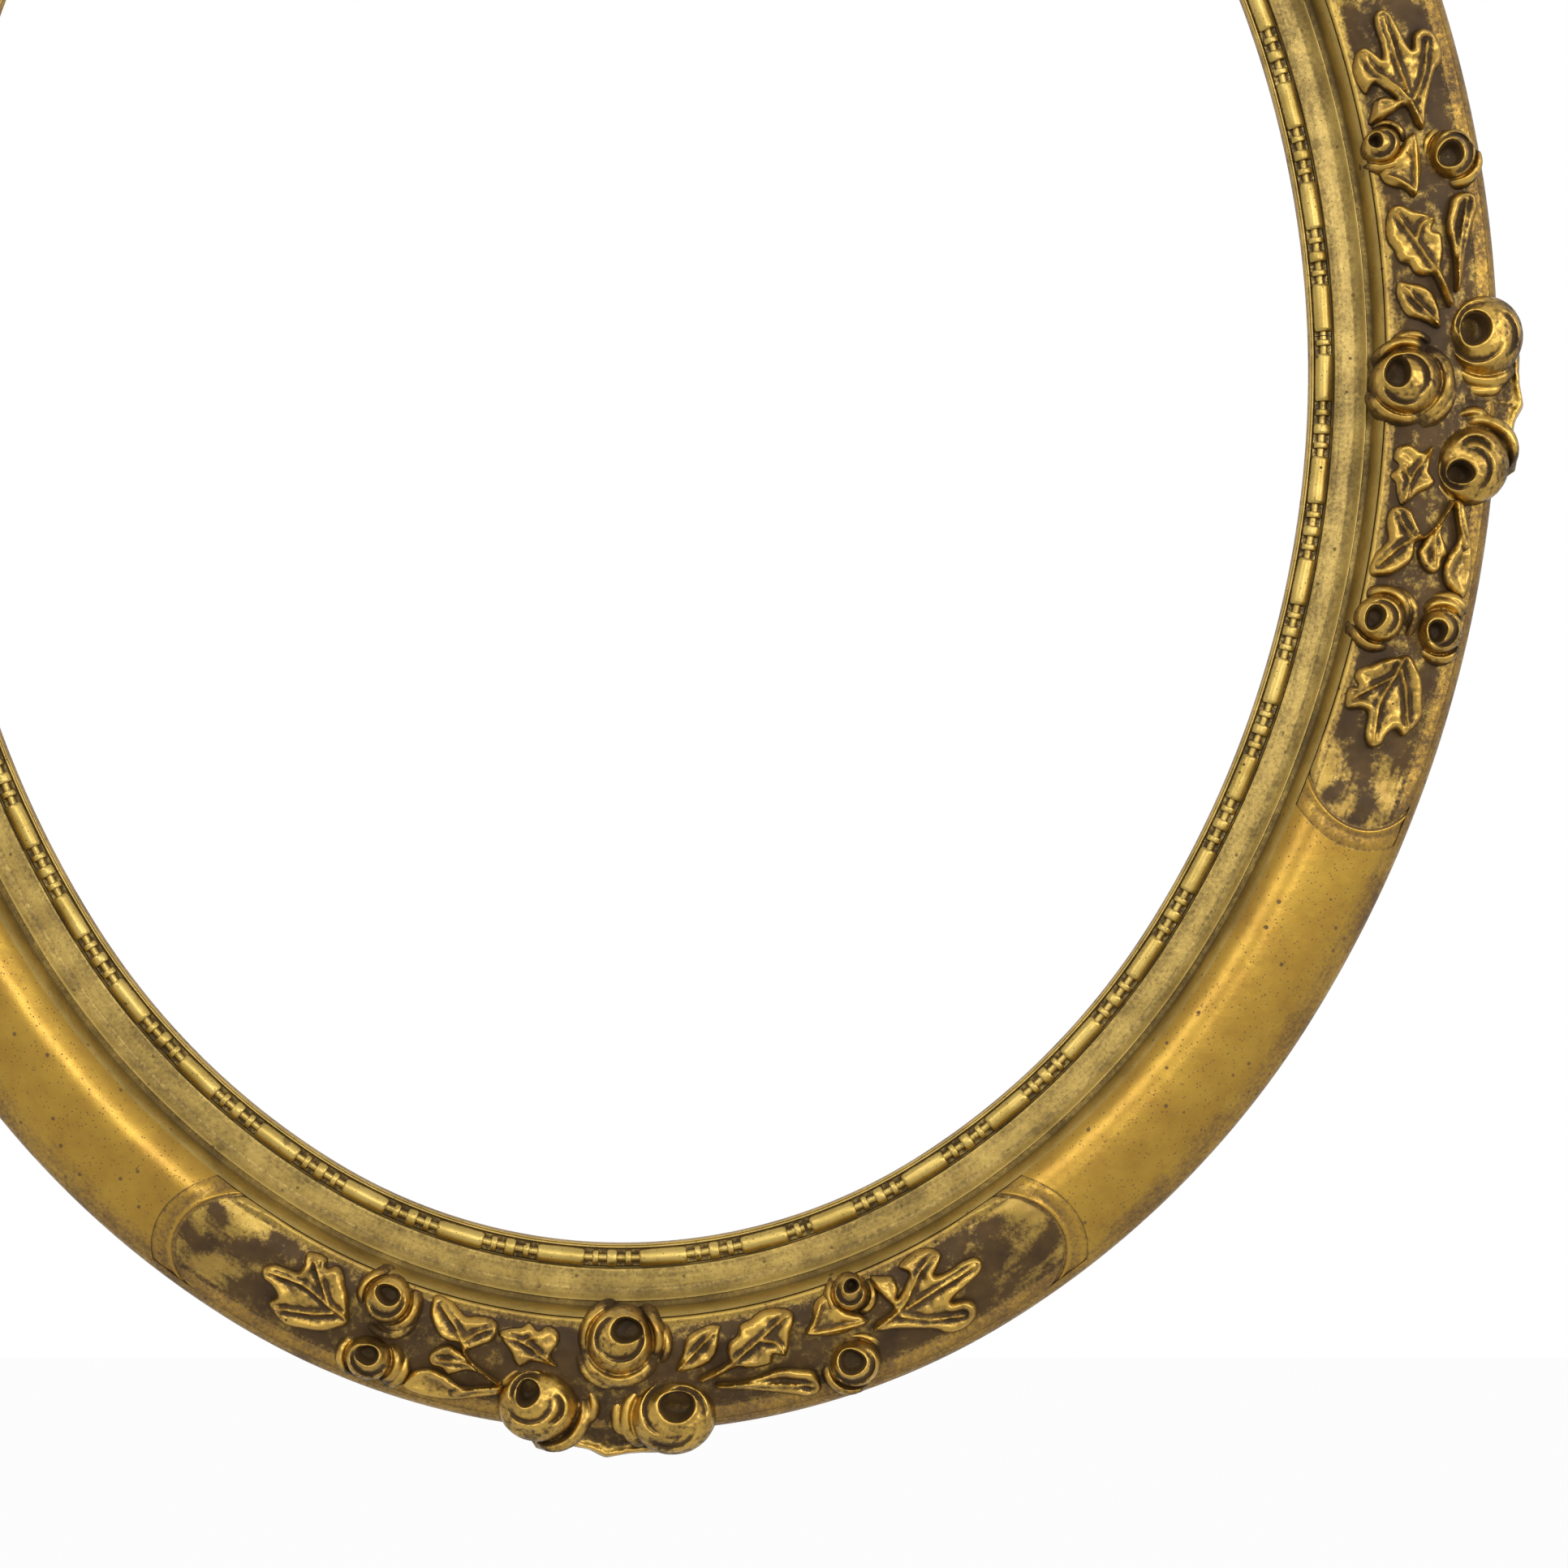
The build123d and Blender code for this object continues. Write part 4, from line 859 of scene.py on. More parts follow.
def fill_loop(loop, ribs):
    """Points and triangles that fill a closed line, with extra rows along its rim and ribs."""
    low, high = loop.min(0), loop.max(0)
    gx, gy = np.meshgrid(*(np.arange(low[i], high[i], FILL_STEP) for i in (0, 1)))
    gx[1::2] += FILL_STEP / 2
    rows = [np.stack([gx.ravel(), gy.ravel()], 1)]
    after = np.roll(loop, -1, axis=0)
    normal = beside_line(after - np.roll(loop, 1, axis=0))
    turn = 1 if (loop[:, 0] * after[:, 1] - after[:, 0] * loop[:, 1]).sum() > 0 else -1
    rows += [loop + turn * normal * inset for inset in RIM_ROWS]
    for rib in ribs:
        rows += [rib] + [rib + beside_line(np.gradient(rib, axis=0)) * shift for shift in RIB_ROWS]
    extra = np.concatenate(rows)
    extra = extra[inside(extra, loop)]
    extra = extra[line_distance(extra, loop, True) > 0.15]
    extra = extra[np.unique(np.round(extra / CELL).astype(int), axis=0, return_index=True)[1]]
    edges = [(i, (i + 1) % len(loop)) for i in range(len(loop))]
    every = [Vector(p) for p in np.concatenate([loop, extra])]
    found = geometry.delaunay_2d_cdt(every, edges, [], 1, 1e-5)
    return np.array([tuple(v) for v in found[0]]), [tuple(t) for t in found[2]]


# %% The leaves of the four swags
def make_leaf(base_along, leaf, seed):
    """Points, faces and toning of one leaf: a pressed top, walls, and a flat underside."""
    outline, ribs, height, hollow = leaf
    loop = smooth_line(outline, closed=True)
    lines = [smooth_line(rib) for rib in ribs]
    flat, tris = fill_loop(loop, lines)
    along, outward = flat.T
    edge = line_distance(flat, loop, True)
    rib = np.min([line_distance(flat, line) for line in lines], axis=0)
    puff = flat_noise(along, outward, 3.1, seed)
    fine = flat_noise(along, outward, 1.1, seed + 5, level=1)
    crest, ridge = hump(edge, 1.3, 1.1), hump(rib, 0, 0.45)
    blade = hollow * smooth_step(edge, 1.6, 3.6)
    valley = hump(rib, 1.1, 0.6) * smooth_step(edge, 0.5, 1.6)
    top = height * (0.45 + 0.55 * np.sqrt(smooth_step(edge, 0.0, 1.3))) + 0.3 * crest
    top += -0.6 * blade + 0.55 * ridge * smooth_step(edge, 0, 0.8) - 0.55 * valley
    top += 0.6 * puff * smooth_step(edge, 0.6, 2.0) + 0.15 * fine
    tone = 0.70 + 0.32 * crest - 0.12 * blade + 0.3 * ridge - 0.75 * valley
    tone += 0.5 * puff + 0.25 * fine
    tone = np.where(edge < 0.12, tone - 0.7, tone)
    ground = torus_height(outward) - GROUND_DEPTH
    points = on_oval(base_along + along, outward, ground + np.maximum(top, 0.35))
    under = on_oval(base_along + along, outward, ground - 0.3)
    tones = np.concatenate([tone, np.zeros(len(flat))])
    return np.concatenate([points, under]), slab_faces(tris, len(flat)), tones


for side, base in SWAGS.items():
    for group, members in LEAVES.items():
        parts = [make_leaf(base, leaf, i + 1.0) for i, leaf in enumerate(members)]
        piece = join_parts(f"pressed_{group}_{side}", parts, gilt_relief)
        sharpen(piece, 60)
        dress(piece, "frame", f"{group}_{side}")
    print("leaves on the", side, triangles(piece), "triangles in the last group")

# %% [markdown]
# ## Roses and buds
#
# Each pressed rose is a ball with a dark eye that looks towards the picture. A mould can only
# make what a lid can be lifted from, so a rose is a height over its ground: a round dome, cut by
# curved creases where one petal slips under the next, and hugged by a few crescent petals that
# stand lower, outside it. Toning fills the eye and the creases and leaves the crests bright.

# %% Height of a flower
PETAL_REACH = 6.5  # how far past the dome a petal may reach
FOOT = -0.6  # a flower ends where it would sink below this
RAYS, RINGS = 120, 50  # of a flower's grid


def arc_of(x, y, arc, spiral=0.0):
    """How far points lie outside an arc, and how far toward its ends.

    An arc is its middle along and outward, its radius, the angle of its middle and its half
    sweep. A spiral grows along the way."""
    along, outward, radius, angle, half_sweep = arc
    dx, dy = x - along, y - outward
    turn = (np.degrees(np.arctan2(dy, dx)) - angle + 180) % 360 - 180
    window = np.clip(np.abs(turn) / half_sweep, 0, 1.4)
    grown = radius * (1 + spiral * np.clip(turn / half_sweep, -1.2, 1.2))
    return np.hypot(dx, dy) - grown * (1 - 0.05 * np.minimum(window, 1) ** 2), window


def ragged_eye(angle, seed):
    """How much the eye's outline leaves an oval, as a share of its size."""
    return 0.05 * np.sin(2 * angle + 1.7 * seed) + 0.04 * np.sin(3 * angle + seed)


def flower_surface(x, y, flower):
    """Height and toning of a flower at points of its own frame, x along and y outward."""
    radius, height, (eye_x, eye_y), (eye_long, eye_wide), creases, petals, seed = flower
    mean = (eye_long + eye_wide) / 2
    ex, ey = (x - eye_x) * mean / eye_long, (y - eye_y) * mean / eye_wide
    from_eye = np.hypot(ex, ey) - mean * (1 + ragged_eye(np.arctan2(ey, ex), seed))
    q = np.hypot(x, y) / radius
    dome = height * np.sqrt(np.maximum(1 - np.minimum(q, 1) ** 2.3, 0))
    dome = np.where(q > 1, -1.2 - 12 * (q - 1), dome - 1.2 * smooth_step(q, 0.9, 1.0))
    tone = np.full_like(dome, 0.80)
    for *arc, cut, spiral in creases:
        u, window = arc_of(x, y, arc, spiral)
        fade = np.maximum(1 - window**3, 0)
        dip = np.where(u < 0, np.exp(np.minimum(u, 0) / 1.3), hump(u, 0, 0.3))
        dome += cut * fade * (0.45 * hump(u, 1.0, 0.8) - dip)
        tone += fade * (0.35 * hump(u, 0.95, 0.7) - hump(u, -0.35, 0.7))
    # The lip rolls into the eye, and the eye's floor stays dark
    dome += 0.35 * hump(from_eye, 0.7, 0.6) - hump(np.maximum(from_eye, 0), 0, 0.28)
    tone += 0.3 * hump(from_eye, 0.7, 0.6)
    floor = 0.18 * height + 0.4 * hump(from_eye, 0, 0.8)
    well = np.maximum(dome - 1.5 * (np.maximum(-from_eye, 0) / 0.35) ** 1.4, floor)
    high, tone = np.where(from_eye < 0, well, dome), np.where(from_eye < 0.12, -0.2, tone)
    for *arc, top_share, width in petals:
        u, window = arc_of(x, y, arc)
        fade = np.maximum(1 - window**2.2, -1)
        top = height * top_share * (0.3 + 0.7 * fade)
        share = np.clip(u / (1.3 * width), 0, 1)
        back = 1.6 * (np.maximum(-u, 0) / (0.5 * width)) ** 1.6
        fall = np.where(u < 0, back, (top + 2.5) * (1 - np.sqrt(1 - share**2)))
        fall += 4 * np.maximum(u - 1.3 * width, 0)
        wins = (top - fall > high) & (from_eye > 0.8)
        high = np.where(wins, top - fall, high)
        rubbed = (1.15 - 0.85 * smooth_step(fall, 0.5, 3.4)) * (0.6 + 0.4 * np.maximum(fade, 0))
        tone = np.where(wins, rubbed, tone)
    return high, tone


def make_flower(flower):
    """A grid of rings whose middle drifts from the eye to the flower's middle, closed below."""
    radius, height, eye, eye_size, _, _, seed = flower
    theta = np.linspace(0, 2 * np.pi, RAYS, endpoint=False)
    cos, sin, far = np.cos(theta), np.sin(theta), radius + PETAL_REACH

    def ring_points(share):
        """x and y at a share of the way out on each ray."""
        return cos * share * far + eye[0] * (1 - share), sin * share * far + eye[1] * (1 - share)

    # How far out each ray stays above the ground
    reach = np.linspace(0.02, 1.0, 150)
    stands = flower_surface(*ring_points(reach[:, None]), flower)[0] > FOOT
    end = reach[[np.flatnonzero(ray).max() if ray.any() else 20 for ray in stands.T]]
    for _ in range(2):
        end = np.maximum(end, (np.roll(end, 1) + end + np.roll(end, -1)) / 3)
    # The first rings fill the eye and follow its outline, the others spread to the flower's foot
    mean = (eye_size[0] + eye_size[1]) / 2
    way_x = (cos * far - eye[0]) * mean / eye_size[0]
    way_y = (sin * far - eye[1]) * mean / eye_size[1]
    rim = mean * (1 + ragged_eye(np.arctan2(way_y, way_x), seed)) / np.hypot(way_x, way_y)
    inner = np.array([0.04, 0.3, 0.55, 0.75, 0.88, 0.96, 1.0])
    outer = np.concatenate([[0.012, 0.03], np.linspace(0.05, 1, RINGS - len(inner) - 2)])
    x, y = ring_points(np.concatenate([inner[:, None] * rim, rim + outer[:, None] * (end - rim)]))
    high, tone = flower_surface(x, y, flower)
    points = np.stack([x, y, high], axis=-1)
    lumps = hand_noise(points.reshape(-1, 3), 3.6, seed).reshape(high.shape)
    pits = hand_noise(points.reshape(-1, 3), 1.2, seed + 9).reshape(high.shape)
    points[..., 2] += 0.3 * lumps + 0.12 * pits
    points[-1, :, 2] = np.minimum(points[-1, :, 2], -0.8)
    low = smooth_step(points[..., 2], -0.5, 0.5 * height)
    # The outward side, turned away from the picture, is made darker
    far_side = smooth_step(y / radius, 0.15, 0.95)
    tone = tone * (0.35 + 0.65 * low) - 0.34 * far_side + 0.3 * lumps
    tone = np.maximum(tone - 0.3 * smooth_step(pits, 0.15, 0.45), 0.4 * far_side * (1 - low))
    return points.reshape(-1, 3), tube_faces(RINGS, RAYS), tone.ravel()


# %% [markdown]
# A flower's own frame has to be laid on the curved ground: its x runs along the frame, its y
# outward and its z forward, tilted a little so that its eye looks towards the picture. Roses on
# the outer side hang over the edge of the moulding, as they do on the real frame.

# %% The flowers of one swag
FLOWERS = {
    # place (along, outward), tilt in degrees, then the flower: radius, height, eye, its half
    # sizes, creases (middle along, middle outward, radius, angle from along towards outward,
    # half sweep, depth, spiral), petals (the same arc, share of the height, width), seed
    "rose_inner": (
        ((3.6, 23.7), 10, (9.5, 8.3, (2.0, -3.0), (3.9, 3.3), (
            (0.9, -1.7, 6.3, 60, 96, 1.3, 0.16), (0.4, -1.2, 6.6, 196, 58, 1.0, -0.12)), (
            (0.0, 0.0, 9.9, 95, 66, 0.60, 2.4), (0.2, -0.4, 10.2, -10, 36, 0.60, 1.9),
            (0.4, 0.2, 12.2, 4, 24, 0.36, 1.6), (0.0, 0.0, 12.1, 122, 36, 0.34, 1.7),
            (0.0, 0.0, 9.8, 205, 44, 0.5, 1.9)), 1.0)),),
    "rose_left": (
        ((-17.0, 42.6), 6, (10.3, 8.6, (-2.6, -3.4), (2.7, 3.2), (
            (-1.4, -2.0, 6.0, 70, 80, 1.1, 0.16), (1.6, -0.2, 4.9, 8, 62, 2.0, 0.0),
            (-1.4, -2.2, 6.0, 226, 60, 0.9, 0.1)), (
            (0.0, 0.2, 11.6, 36, 46, 0.50, 2.3), (0.2, 0.0, 13.4, -4, 26, 0.32, 1.9),
            (0.0, 0.0, 10.4, 240, 50, 0.45, 2.0)), 2.0)),),
    "rose_right": (
        ((16.2, 45.2), 4, (10.8, 8.8, (1.4, -3.3), (4.4, 3.5), (
            (0.4, -1.6, 7.4, 190, 72, 1.3, 0.12), (0.8, -1.4, 7.2, 318, 58, 0.9, 0.1),
            (0.0, -0.4, 8.0, 88, 54, 0.8, 0.1)), (
            (0.2, 0.0, 11.4, 186, 50, 0.54, 2.3), (0.0, -0.2, 13.8, 184, 30, 0.36, 1.9),
            (0.2, 0.0, 10.8, 292, 40, 0.5, 1.9)), 3.0)),),
    "buds_left": (
        ((-61.0, 23.8), 8, (6.6, 7.0, (-0.3, -1.6), (3.1, 2.4), (
            (0.0, -0.8, 4.8, 60, 100, 1.1, 0.14),), (
            (0.4, 0.0, 7.0, 25, 60, 0.62, 2.0), (0.4, 0.2, 8.6, 60, 44, 0.42, 1.8),
            (-0.2, 0.2, 7.2, 200, 46, 0.42, 1.8)), 4.0)),
        ((-60.5, 40.6), 4, (6.3, 6.8, (-0.5, -1.2), (2.6, 2.3), (
            (0.0, -0.6, 4.5, 110, 110, 1.0, -0.12),), (
            (0.4, 0.0, 6.6, 355, 56, 0.72, 2.0), (0.6, 0.2, 8.2, 8, 42, 0.46, 1.8),
            (0.0, 0.2, 6.8, 165, 54, 0.44, 1.8)), 5.0))),
    "buds_right": (
        ((68.4, 22.2), 8, (5.2, 6.4, (1.0, -1.7), (1.9, 1.5), (
            (0.4, -0.6, 3.6, 120, 110, 1.0, 0.14),), (
            (-0.2, 0.2, 5.6, 165, 66, 0.56, 1.8), (0.2, 0.2, 5.6, 40, 50, 0.46, 1.7)), 6.0)),
        ((63.2, 40.6), 4, (6.6, 7.0, (-0.6, -1.0), (3.2, 3.0), (
            (0.0, -0.4, 5.2, 80, 110, 1.0, 0.14),), (
            (0.0, 0.2, 7.2, 140, 56, 0.46, 1.8), (0.2, 0.0, 7.0, 300, 44, 0.5, 1.8)), 7.0))),
}


def lay_flower(base_along, laid):
    """Sets a flower on the ground, leaning towards the picture, its foot following the slope."""
    (along, outward), tilt, flower = laid
    points, faces, tones = make_flower(flower)
    x, y, z = points.T
    cos, sin = math.cos(math.radians(tilt)), math.sin(math.radians(tilt))
    leant = y * cos - z * sin
    ground = float(torus_height(min(outward, RESERVE_OUT))) - GROUND_DEPTH
    local = torus_height(np.clip(outward + leant, RESERVE_IN, 49.0)) - GROUND_DEPTH
    follow = smooth_step(-z, -2.4, 0.4)
    high = ground + (y * sin + z * cos) + (np.minimum(local - ground, 0.0) - y * sin) * follow
    return on_oval(base_along + along + x, outward + leant, high), faces, tones


for side, base in SWAGS.items():
    for group, members in FLOWERS.items():
        parts = [lay_flower(base, flower) for flower in members]
        if group == "buds_right":
            parts.append(make_leaf(base, SEPAL, 4.0))
        piece = join_parts(f"pressed_{group}_{side}", parts, gilt_relief)
        dress(piece, "frame", f"{group}_{side}")
    print("flowers on the", side, triangles(piece), "triangles in the last group")

# %% [markdown]
# ## The leaf that hangs over the edge
#
# Between the two outer roses a short broad leaf bends down over the edge of the moulding. It has
# a dark blade and a bright turned lip. It is laid like the other leaves, but its height follows a
# line that falls away past the edge.

# %% Tip leaves
TIP_OUTLINE = (
    (-6.0, 38.6), (-9.6, 42.6), (-12.8, 46.6), (-15.4, 50.6), (-14.4, 53.2), (-8.4, 54.3),
    (-4.6, 55.0), (-2.0, 56.4), (-0.1, 57.1), (2.4, 56.5), (7.0, 55.8), (12.4, 55.9), (16.6, 55.2),
    (13.6, 50.6), (9.0, 45.6), (6.0, 40.6), (0.4, 37.6))
TIP_STEM = ((0.2, 40.0), (0.0, 47.0), (-0.1, 54.0))
TIP_LIP = (
    (-13.4, 52.0), (-8.0, 53.0), (-3.6, 53.8), (-0.1, 55.6), (3.4, 55.0), (8.0, 54.4), (14.0, 54.2))
# How far forward its blade and its underside lie at distances outward
TIP_FALL = ((40, 21.6), (46, 20.4), (50, 18.6), (53, 17.4), (57.5, 16.6))
TIP_UNDER = ((40, 17.5), (47.4, 15.5), (50.1, 13.0), (53, 13.4), (57.5, 14.6))


def make_tip(base):
    """Points, faces and toning of the leaf over the edge on one side."""
    loop = smooth_line(TIP_OUTLINE, closed=True)
    lines = [smooth_line(TIP_STEM), smooth_line(TIP_LIP)]
    flat, tris = fill_loop(loop, lines)
    along, outward = flat.T
    edge = line_distance(flat, loop, True)
    stem, lip = (line_distance(flat, line) for line in lines)
    fall, under = (np.interp(outward, *np.transpose(line)) for line in (TIP_FALL, TIP_UNDER))
    rough = flat_noise(along, outward, 1.6, 8)
    top = fall + 0.35 * hump(stem, 0, 0.6) + 1.4 * hump(lip, 0, 1.0) + 0.35 * rough
    top = np.maximum(top - 1.0 * (1 - smooth_step(edge, 0.0, 0.8)), under + 0.6)
    pale = hump(lip, 0, 1.2) * (0.35 + 0.65 * smooth_step(9.5 - np.abs(along), 0.0, 5.0))
    tone = 0.16 + 0.9 * pale + 0.12 * hump(stem, 0, 0.5) + 0.25 * rough
    tone += 0.25 * smooth_step(outward, 52, 56)
    points = [on_oval(base + along, outward, forward) for forward in (top, under)]
    tones = np.concatenate([tone, np.full(len(flat), 0.1)])
    return np.concatenate(points), slab_faces(tris, len(flat)), tones


tips = join_parts("pressed_tip_leaves", [make_tip(base) for base in SWAGS.values()], gilt_relief)
sharpen(tips, 60)
dress(tips, "frame", "tip_leaves")
print("tip leaves:", triangles(tips), "triangles")

# %% [markdown]
# ## Beading
#
# The beading is long barrel beads, thin reels and short pearls on a narrow strip, in four runs
# that meet end to end. There are two hundred of them, so Geometry Nodes make them: a point
# carries its bead's kind and turn, and the tree builds one low bead of each kind from a rounded
# line and sets copies on the points. Each run's strip is a swept section.

# %% Where the beads go
LONG, REEL, PEARL, BEAD_GAP = 12.9, 1.6, 2.8, 2.2
BEAD_RADIUS, REEL_RADIUS = 2.45, 2.15
BEAD_LINE, STRIP_TOP = 3.6, 11.3
FIRST_JOINT = 51.6  # how far past the middle of the bottom the first run starts
RUN_PATTERNS = (11, 13, 13, 13)
BEAD_ROUND, BEAD_STARTS = line_round(BEAD_LINE)


def crown_along(bead_along):
    """The distance along the crown that lies beside a distance along the bead line."""
    k, past = arc_at(np.asarray(bead_along, float), BEAD_LINE, BEAD_ROUND, BEAD_STARTS)
    return ARC_STARTS[k] + past * (ARC_RADII[k] + CROWN)


def bead_runs():
    """Start, end, and the kind and place of each bead of the four runs."""
    pattern = LONG + 2 * REEL + PEARL + 4 * BEAD_GAP
    saving = PEARL + REEL + 2 * BEAD_GAP  # a run ends with a reel, without the last pearl
    stretch = (BEAD_ROUND + len(RUN_PATTERNS) * saving) / (sum(RUN_PATTERNS) * pattern)
    gap = BEAD_GAP * stretch + (stretch - 1) * (pattern / 4 - BEAD_GAP)
    start = 3 * BEAD_ROUND / 4 + FIRST_JOINT
    for patterns in RUN_PATTERNS:
        beads, along = [], start + gap / 2
        order = [(0, LONG), (1, REEL), (2, PEARL), (1, REEL)] * patterns
        for kind, length in order[:-2]:
            beads.append((kind, along + length / 2))
            along += length + gap
        yield start, along - gap / 2, beads
        start = along - gap / 2


# %% A tree that sets beads on points
BEAD_KINDS = (
    # its length and radius, how sharply it rounds off at its ends, and how much it narrows there
    ("Long bead", "Bead radius", 4.5, -0.2), ("Reel", "Reel radius", 3.0, -0.22),
    ("Pearl", "Bead radius", 2.6, -0.3))
BEAD_SIZES = {"Long bead": LONG, "Reel": REEL, "Pearl": PEARL,
              "Bead radius": BEAD_RADIUS, "Reel radius": REEL_RADIUS}


def bead_shape(tree, given, length, radius, blunt, taper):
    """A bead along x: a line whose radius shrinks towards its ends, swept into a closed solid."""
    half = reckon(tree, "MULTIPLY", given.outputs[length], 0.5)
    minus = reckon(tree, "MULTIPLY", given.outputs[length], -0.5)
    ends = [add(tree, "ShaderNodeCombineXYZ", links={"X": end}).outputs[0] for end in (minus, half)]
    line = add(tree, "GeometryNodeCurvePrimitiveLine", links={"Start": ends[0], "End": ends[1]})
    fine = add(tree, "GeometryNodeResampleCurve", {"Count": 8}, {"Curve": line.outputs[0]})
    share = add(tree, "GeometryNodeSplineParameter").outputs["Factor"]
    # The line's even steps are pushed towards both ends, where the bead rounds off
    centred = reckon(tree, "MULTIPLY_ADD", share, 2.0, -1.0)
    size = reckon(tree, "ABSOLUTE", centred)
    bent = reckon(tree, "POWER", reckon(tree, "SUBTRACT", 1.0, size), 3.4)
    pushed = reckon(tree, "SUBTRACT", 1.0, bent)
    signed = reckon(tree, "MULTIPLY", pushed, reckon(tree, "SIGN", centred))
    at = reckon(tree, "MULTIPLY", signed, half)
    spot = add(tree, "ShaderNodeCombineXYZ", links={"X": at})
    shrink = reckon(tree, "MULTIPLY_ADD", reckon(tree, "POWER", size, blunt), taper, 1.0)
    wide = reckon(tree, "MULTIPLY", shrink, given.outputs[radius])
    ring = add(tree, "GeometryNodeCurvePrimitiveCircle", {"Resolution": 12, "Radius": 1.0})
    sized = add(tree, "GeometryNodeSetCurveRadius",
                links={"Curve": fine.outputs[0], "Radius": wide})
    placed = add(tree, "GeometryNodeSetPosition",
                 links={"Geometry": sized.outputs[0], "Position": spot.outputs[0]})
    own_radius = add(tree, "GeometryNodeInputRadius").outputs[0]
    swept = add(tree, "GeometryNodeCurveToMesh", {"Fill Caps": True}, {
        "Curve": placed.outputs[0], "Profile Curve": ring.outputs[0], "Scale": own_radius})
    return swept.outputs[0]


def bead_tree():
    tree = bpy.data.node_groups.new("beads_on_points", "GeometryNodeTree")
    face = tree.interface
    face.new_socket("Points", in_out="INPUT", socket_type="NodeSocketGeometry")
    for label, value in BEAD_SIZES.items():
        socket = face.new_socket(label, in_out="INPUT", socket_type="NodeSocketFloat")
        socket.default_value = value * MM
    face.new_socket("Finish", in_out="INPUT", socket_type="NodeSocketMaterial")
    face.new_socket("Beads", in_out="OUTPUT", socket_type="NodeSocketGeometry")
    given = add(tree, "NodeGroupInput")
    lean, kind = (
        add(tree, "GeometryNodeInputNamedAttribute", {"data_type": data, "Name": name})
        for name, data in (("lean", "FLOAT"), ("kind", "INT")))
    turn = add(tree, "ShaderNodeCombineXYZ", links={"Y": lean.outputs["Attribute"]})
    joined = add(tree, "GeometryNodeJoinGeometry")
    for number, shape in enumerate(BEAD_KINDS):
        bead = bead_shape(tree, given, *shape)
        chosen = add(tree, "FunctionNodeCompare",
                     {"data_type": "INT", "operation": "EQUAL", 3: number},
                     {2: kind.outputs["Attribute"]})
        put = add(tree, "GeometryNodeInstanceOnPoints", links={
            "Points": given.outputs["Points"], "Selection": chosen.outputs[0],
            "Instance": bead, "Rotation": turn.outputs[0]})
        tree.links.new(put.outputs[0], joined.inputs[0])
    real = add(tree, "GeometryNodeRealizeInstances", links={0: joined.outputs[0]})
    smooth = add(tree, "GeometryNodeSetShadeSmooth", links={0: real.outputs[0]})
    painted = add(tree, "GeometryNodeSetMaterial", links={
        "Geometry": smooth.outputs[0], "Material": given.outputs["Finish"]})
    add(tree, "NodeGroupOutput", links={0: painted.outputs[0]})
    return tree


BEAD_TREE = bead_tree()

# %% One run: its strip and its beads
CORE_RADIUS, ROW_STEP = 1.1, 2.5
STRIP_INNER = ((1.3, 10.4, 0.0), (1.3, 11.1, 0.1), (1.45, 11.3, 0.3), (2.5, 11.3, 0.15))
STRIP_OUTER = ((4.7, 11.3, 0.15), (5.75, 11.3, 0.3), (5.9, 11.1, 0.1), (5.9, 10.4, 0.0))


def strip_part(start, stop):
    """The strip under a run, with a thin round core between the beads."""
    core = [(BEAD_LINE + CORE_RADIUS * math.cos(a), STRIP_TOP + CORE_RADIUS * math.sin(a),
             0.15 + 0.55 * math.sin(a)) for a in np.linspace(math.pi, 0, 9)]
    out, high, tone = np.array([*STRIP_INNER, *core, *STRIP_OUTER]).T
    rows = max(2, int((stop - start) / ROW_STEP))
    along = crown_along(np.linspace(start + 0.1, stop - 0.1, rows))
    along = np.unwrap(along / ROUND * 2 * np.pi) * ROUND / (2 * np.pi)
    points = on_oval(along[:, None], out, high).reshape(-1, 3)
    return points, tube_faces(rows, len(out)), np.tile(tone, rows)


def bead_mesh(beads):
    """The mesh that the tree makes from the places of a run's beads."""
    crown = crown_along([along for _, along in beads])
    here = on_oval(crown, BEAD_LINE, STRIP_TOP)
    way = on_oval(crown + 0.5, BEAD_LINE, STRIP_TOP) - here
    places = bpy.data.meshes.new("bead_places")
    places.from_pydata([tuple(p) for p in here], [], [])
    store(places, "lean", "FLOAT", np.arctan2(-way[:, 2], way[:, 0]))
    store(places, "kind", "INT", [kind for kind, _ in beads])
    holder = link("bead_places", places)
    modifier = holder.modifiers.new("beads", "NODES")
    modifier.node_group = BEAD_TREE
    for item in BEAD_TREE.interface.items_tree:
        if item.name == "Finish" and item.in_out == "INPUT":
            modifier[item.identifier] = gilt_beads
    bpy.context.view_layer.update()
    ready = holder.evaluated_get(bpy.context.evaluated_depsgraph_get())
    made = bpy.data.meshes.new_from_object(ready)
    bpy.data.objects.remove(holder)
    return made


def make_run(number, start, stop, beads):
    """The beads of one run and the strip under them."""
    made = bead_mesh(beads)
    coords = np.zeros(len(made.vertices) * 3)
    made.vertices.foreach_get("co", coords)
    coords = coords.reshape(-1, 3)
    crest = smooth_step(-coords[:, 1] / MM, STRIP_TOP + 0.3, STRIP_TOP + 1.7)
    rub = 0.15 + 0.85 * crest + 0.25 * hand_noise(coords, 0.004, number)
    store(made, "toning_and_shade", "FLOAT", np.clip(rub, 0, 1))
    run = link(f"beads_{number}", made)
    dress(run, "frame", f"beading_run_{number}")
    strip = join_parts(f"beading_strip_{number}", [strip_part(start, stop)], gilt_beads)
    sharpen(strip, 40)
    dress(strip, "frame", f"beading_run_{number}")
    return run


for number, (start, stop, beads) in enumerate(bead_runs(), start=1):
    piece = make_run(number, start, stop, beads)
    print(piece.name, len(beads), "beads,", triangles(piece), "triangles")

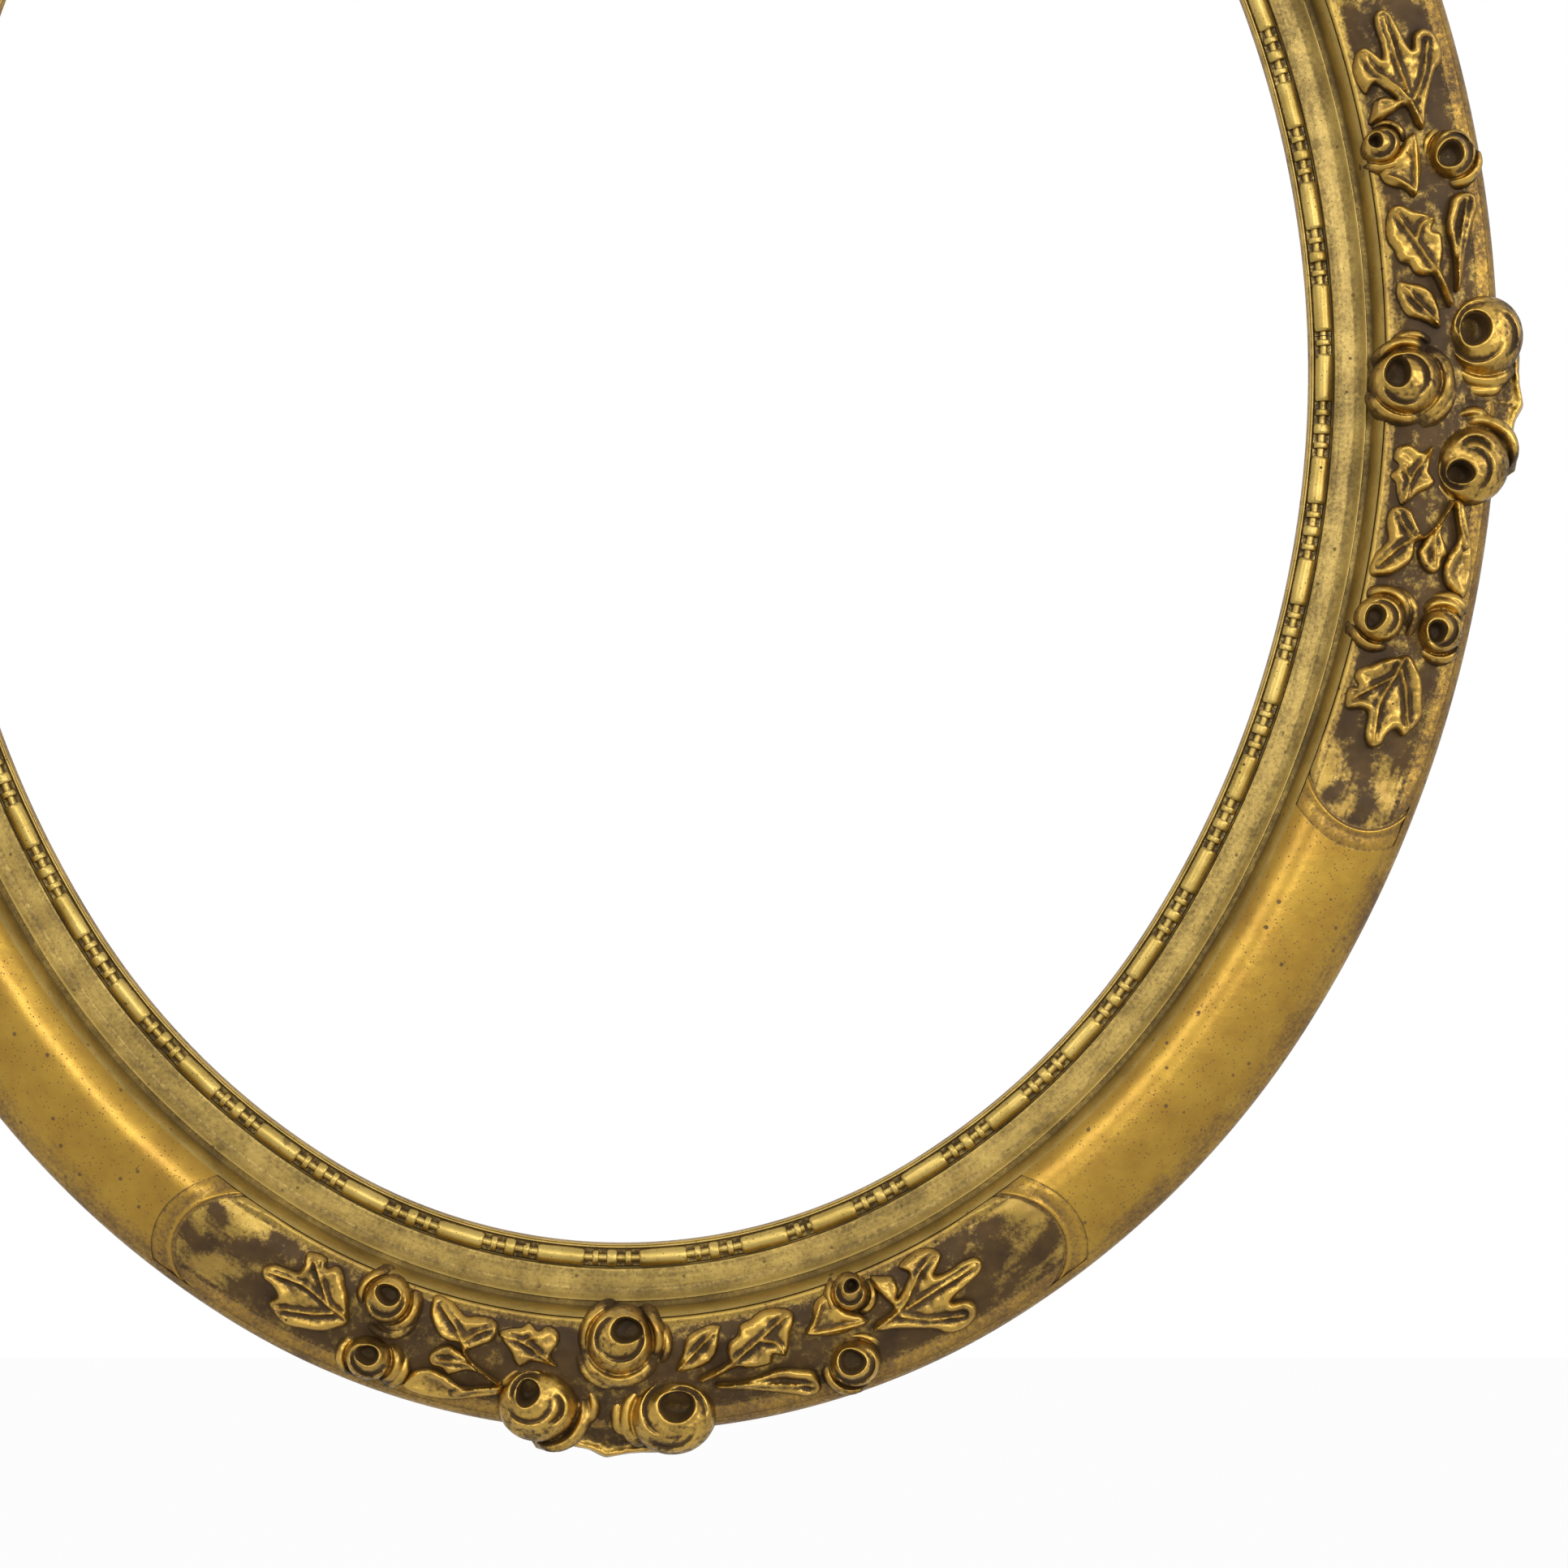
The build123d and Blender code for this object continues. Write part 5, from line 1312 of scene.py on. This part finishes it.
# %% [markdown]
# ## Fittings on the back
#
# The strap hangers, rings and turn buttons keep their CAD shapes: they are plain stampings and
# wire, and the solids already have every hole and bend. They get their metals here.

# %% Fittings
FITTINGS = {"hanger_": plated_steel, "turn_button": stamped_brass,
            "back_screws": zinc_steel, "rail_dowels": bare_beech}
for name, node in nodes.items():
    for start_of_name, material in FITTINGS.items():
        if name.startswith(start_of_name):
            node.data.materials.clear()
            node.data.materials.append(material)
            node.data.polygons.foreach_set(
                "material_index", np.zeros(len(node.data.polygons), np.int32))
print("fittings painted:", sum(name.startswith(tuple(FITTINGS)) for name in nodes))

# %% [markdown]
# ## Light, floor and camera
#
# The photograph shows the lower right part of the frame on plain white, in soft light. The world
# and the floor are white where the camera, a reflection or clear matter sees them, and plainer
# as lamps. Three soft lamps in front, one to the left, one near the middle and one to the right,
# make the long gleam on the crown.

# %% Stage
def seen(tree):
    """1 for rays from the camera, from a reflection and through clear matter."""
    rays = add(tree, "ShaderNodeLightPath").outputs
    mirrored = reckon(tree, "MAXIMUM", rays["Is Glossy Ray"], rays["Is Transmission Ray"])
    return reckon(tree, "MAXIMUM", rays["Is Camera Ray"], mirrored)


def add_floor():
    bpy.ops.mesh.primitive_plane_add(size=12, location=(0, 0, -1.6))
    floor = bpy.context.object
    floor.name = "pale_floor"
    material, tree = new_material("pale_paper_floor")
    matt = surface(tree, {"Base Color": (0.86, 0.86, 0.86, 1), "Roughness": 0.9}, {})
    glow = add(tree, "ShaderNodeEmission", {"Color": (1, 1, 1, 1), "Strength": 1.0})
    # A little of the matt paper stays visible, so that the object's shadow does
    share = reckon(tree, "MULTIPLY", seen(tree), 0.94)
    mix = add(tree, "ShaderNodeMixShader", links={0: share, 1: matt, 2: glow.outputs[0]})
    show(tree, mix.outputs[0])
    floor.data.materials.append(material)


def add_world():
    world = bpy.data.worlds.new("white_studio")
    bpy.context.scene.world = world
    world.use_nodes = True
    tree = world.node_tree
    tree.nodes.clear()
    room, backdrop = (
        add(tree, "ShaderNodeBackground", {"Color": (1, 1, 1, 1), "Strength": strength}).outputs[0]
        for strength in (0.7, 1.0))
    mix = add(tree, "ShaderNodeMixShader", links={0: seen(tree), 1: room, 2: backdrop})
    add(tree, "ShaderNodeOutputWorld", links={"Surface": mix.outputs[0]})


def add_lamp(name, place, target, size, power):
    lamp = bpy.data.lights.new(name, "AREA")
    lamp.shape, lamp.size, lamp.energy = "DISK", size, power
    holder = link(name, lamp)
    holder.location = place
    way = Vector(target) - Vector(place)
    holder.rotation_euler = way.to_track_quat("-Z", "Y").to_euler()


def add_camera():
    camera = bpy.data.cameras.new("photo_camera")
    camera.sensor_width, camera.lens, camera.clip_end = 36.0, 59.5, 20.0
    holder = link("photo_camera", camera)
    holder.location = (0.0443, -0.720, -0.1131)
    holder.rotation_euler = (math.radians(90), 0, 0)
    bpy.context.scene.camera = holder


add_floor()
add_world()
add_lamp("front_softbox", (0.4, -2.0, 0.4), (0.05, 0, -0.1), 0.7, 11.5)
add_lamp("right_softbox", (1.25, -0.95, 0.25), (0.1, 0, -0.1), 0.7, 8)
add_lamp("left_softbox", (-0.9, -1.4, 0.8), (0.05, 0, -0.1), 0.8, 8)
add_camera()
bpy.context.scene.view_settings.view_transform = "Standard"

# %% The end
bpy.context.view_layer.update()
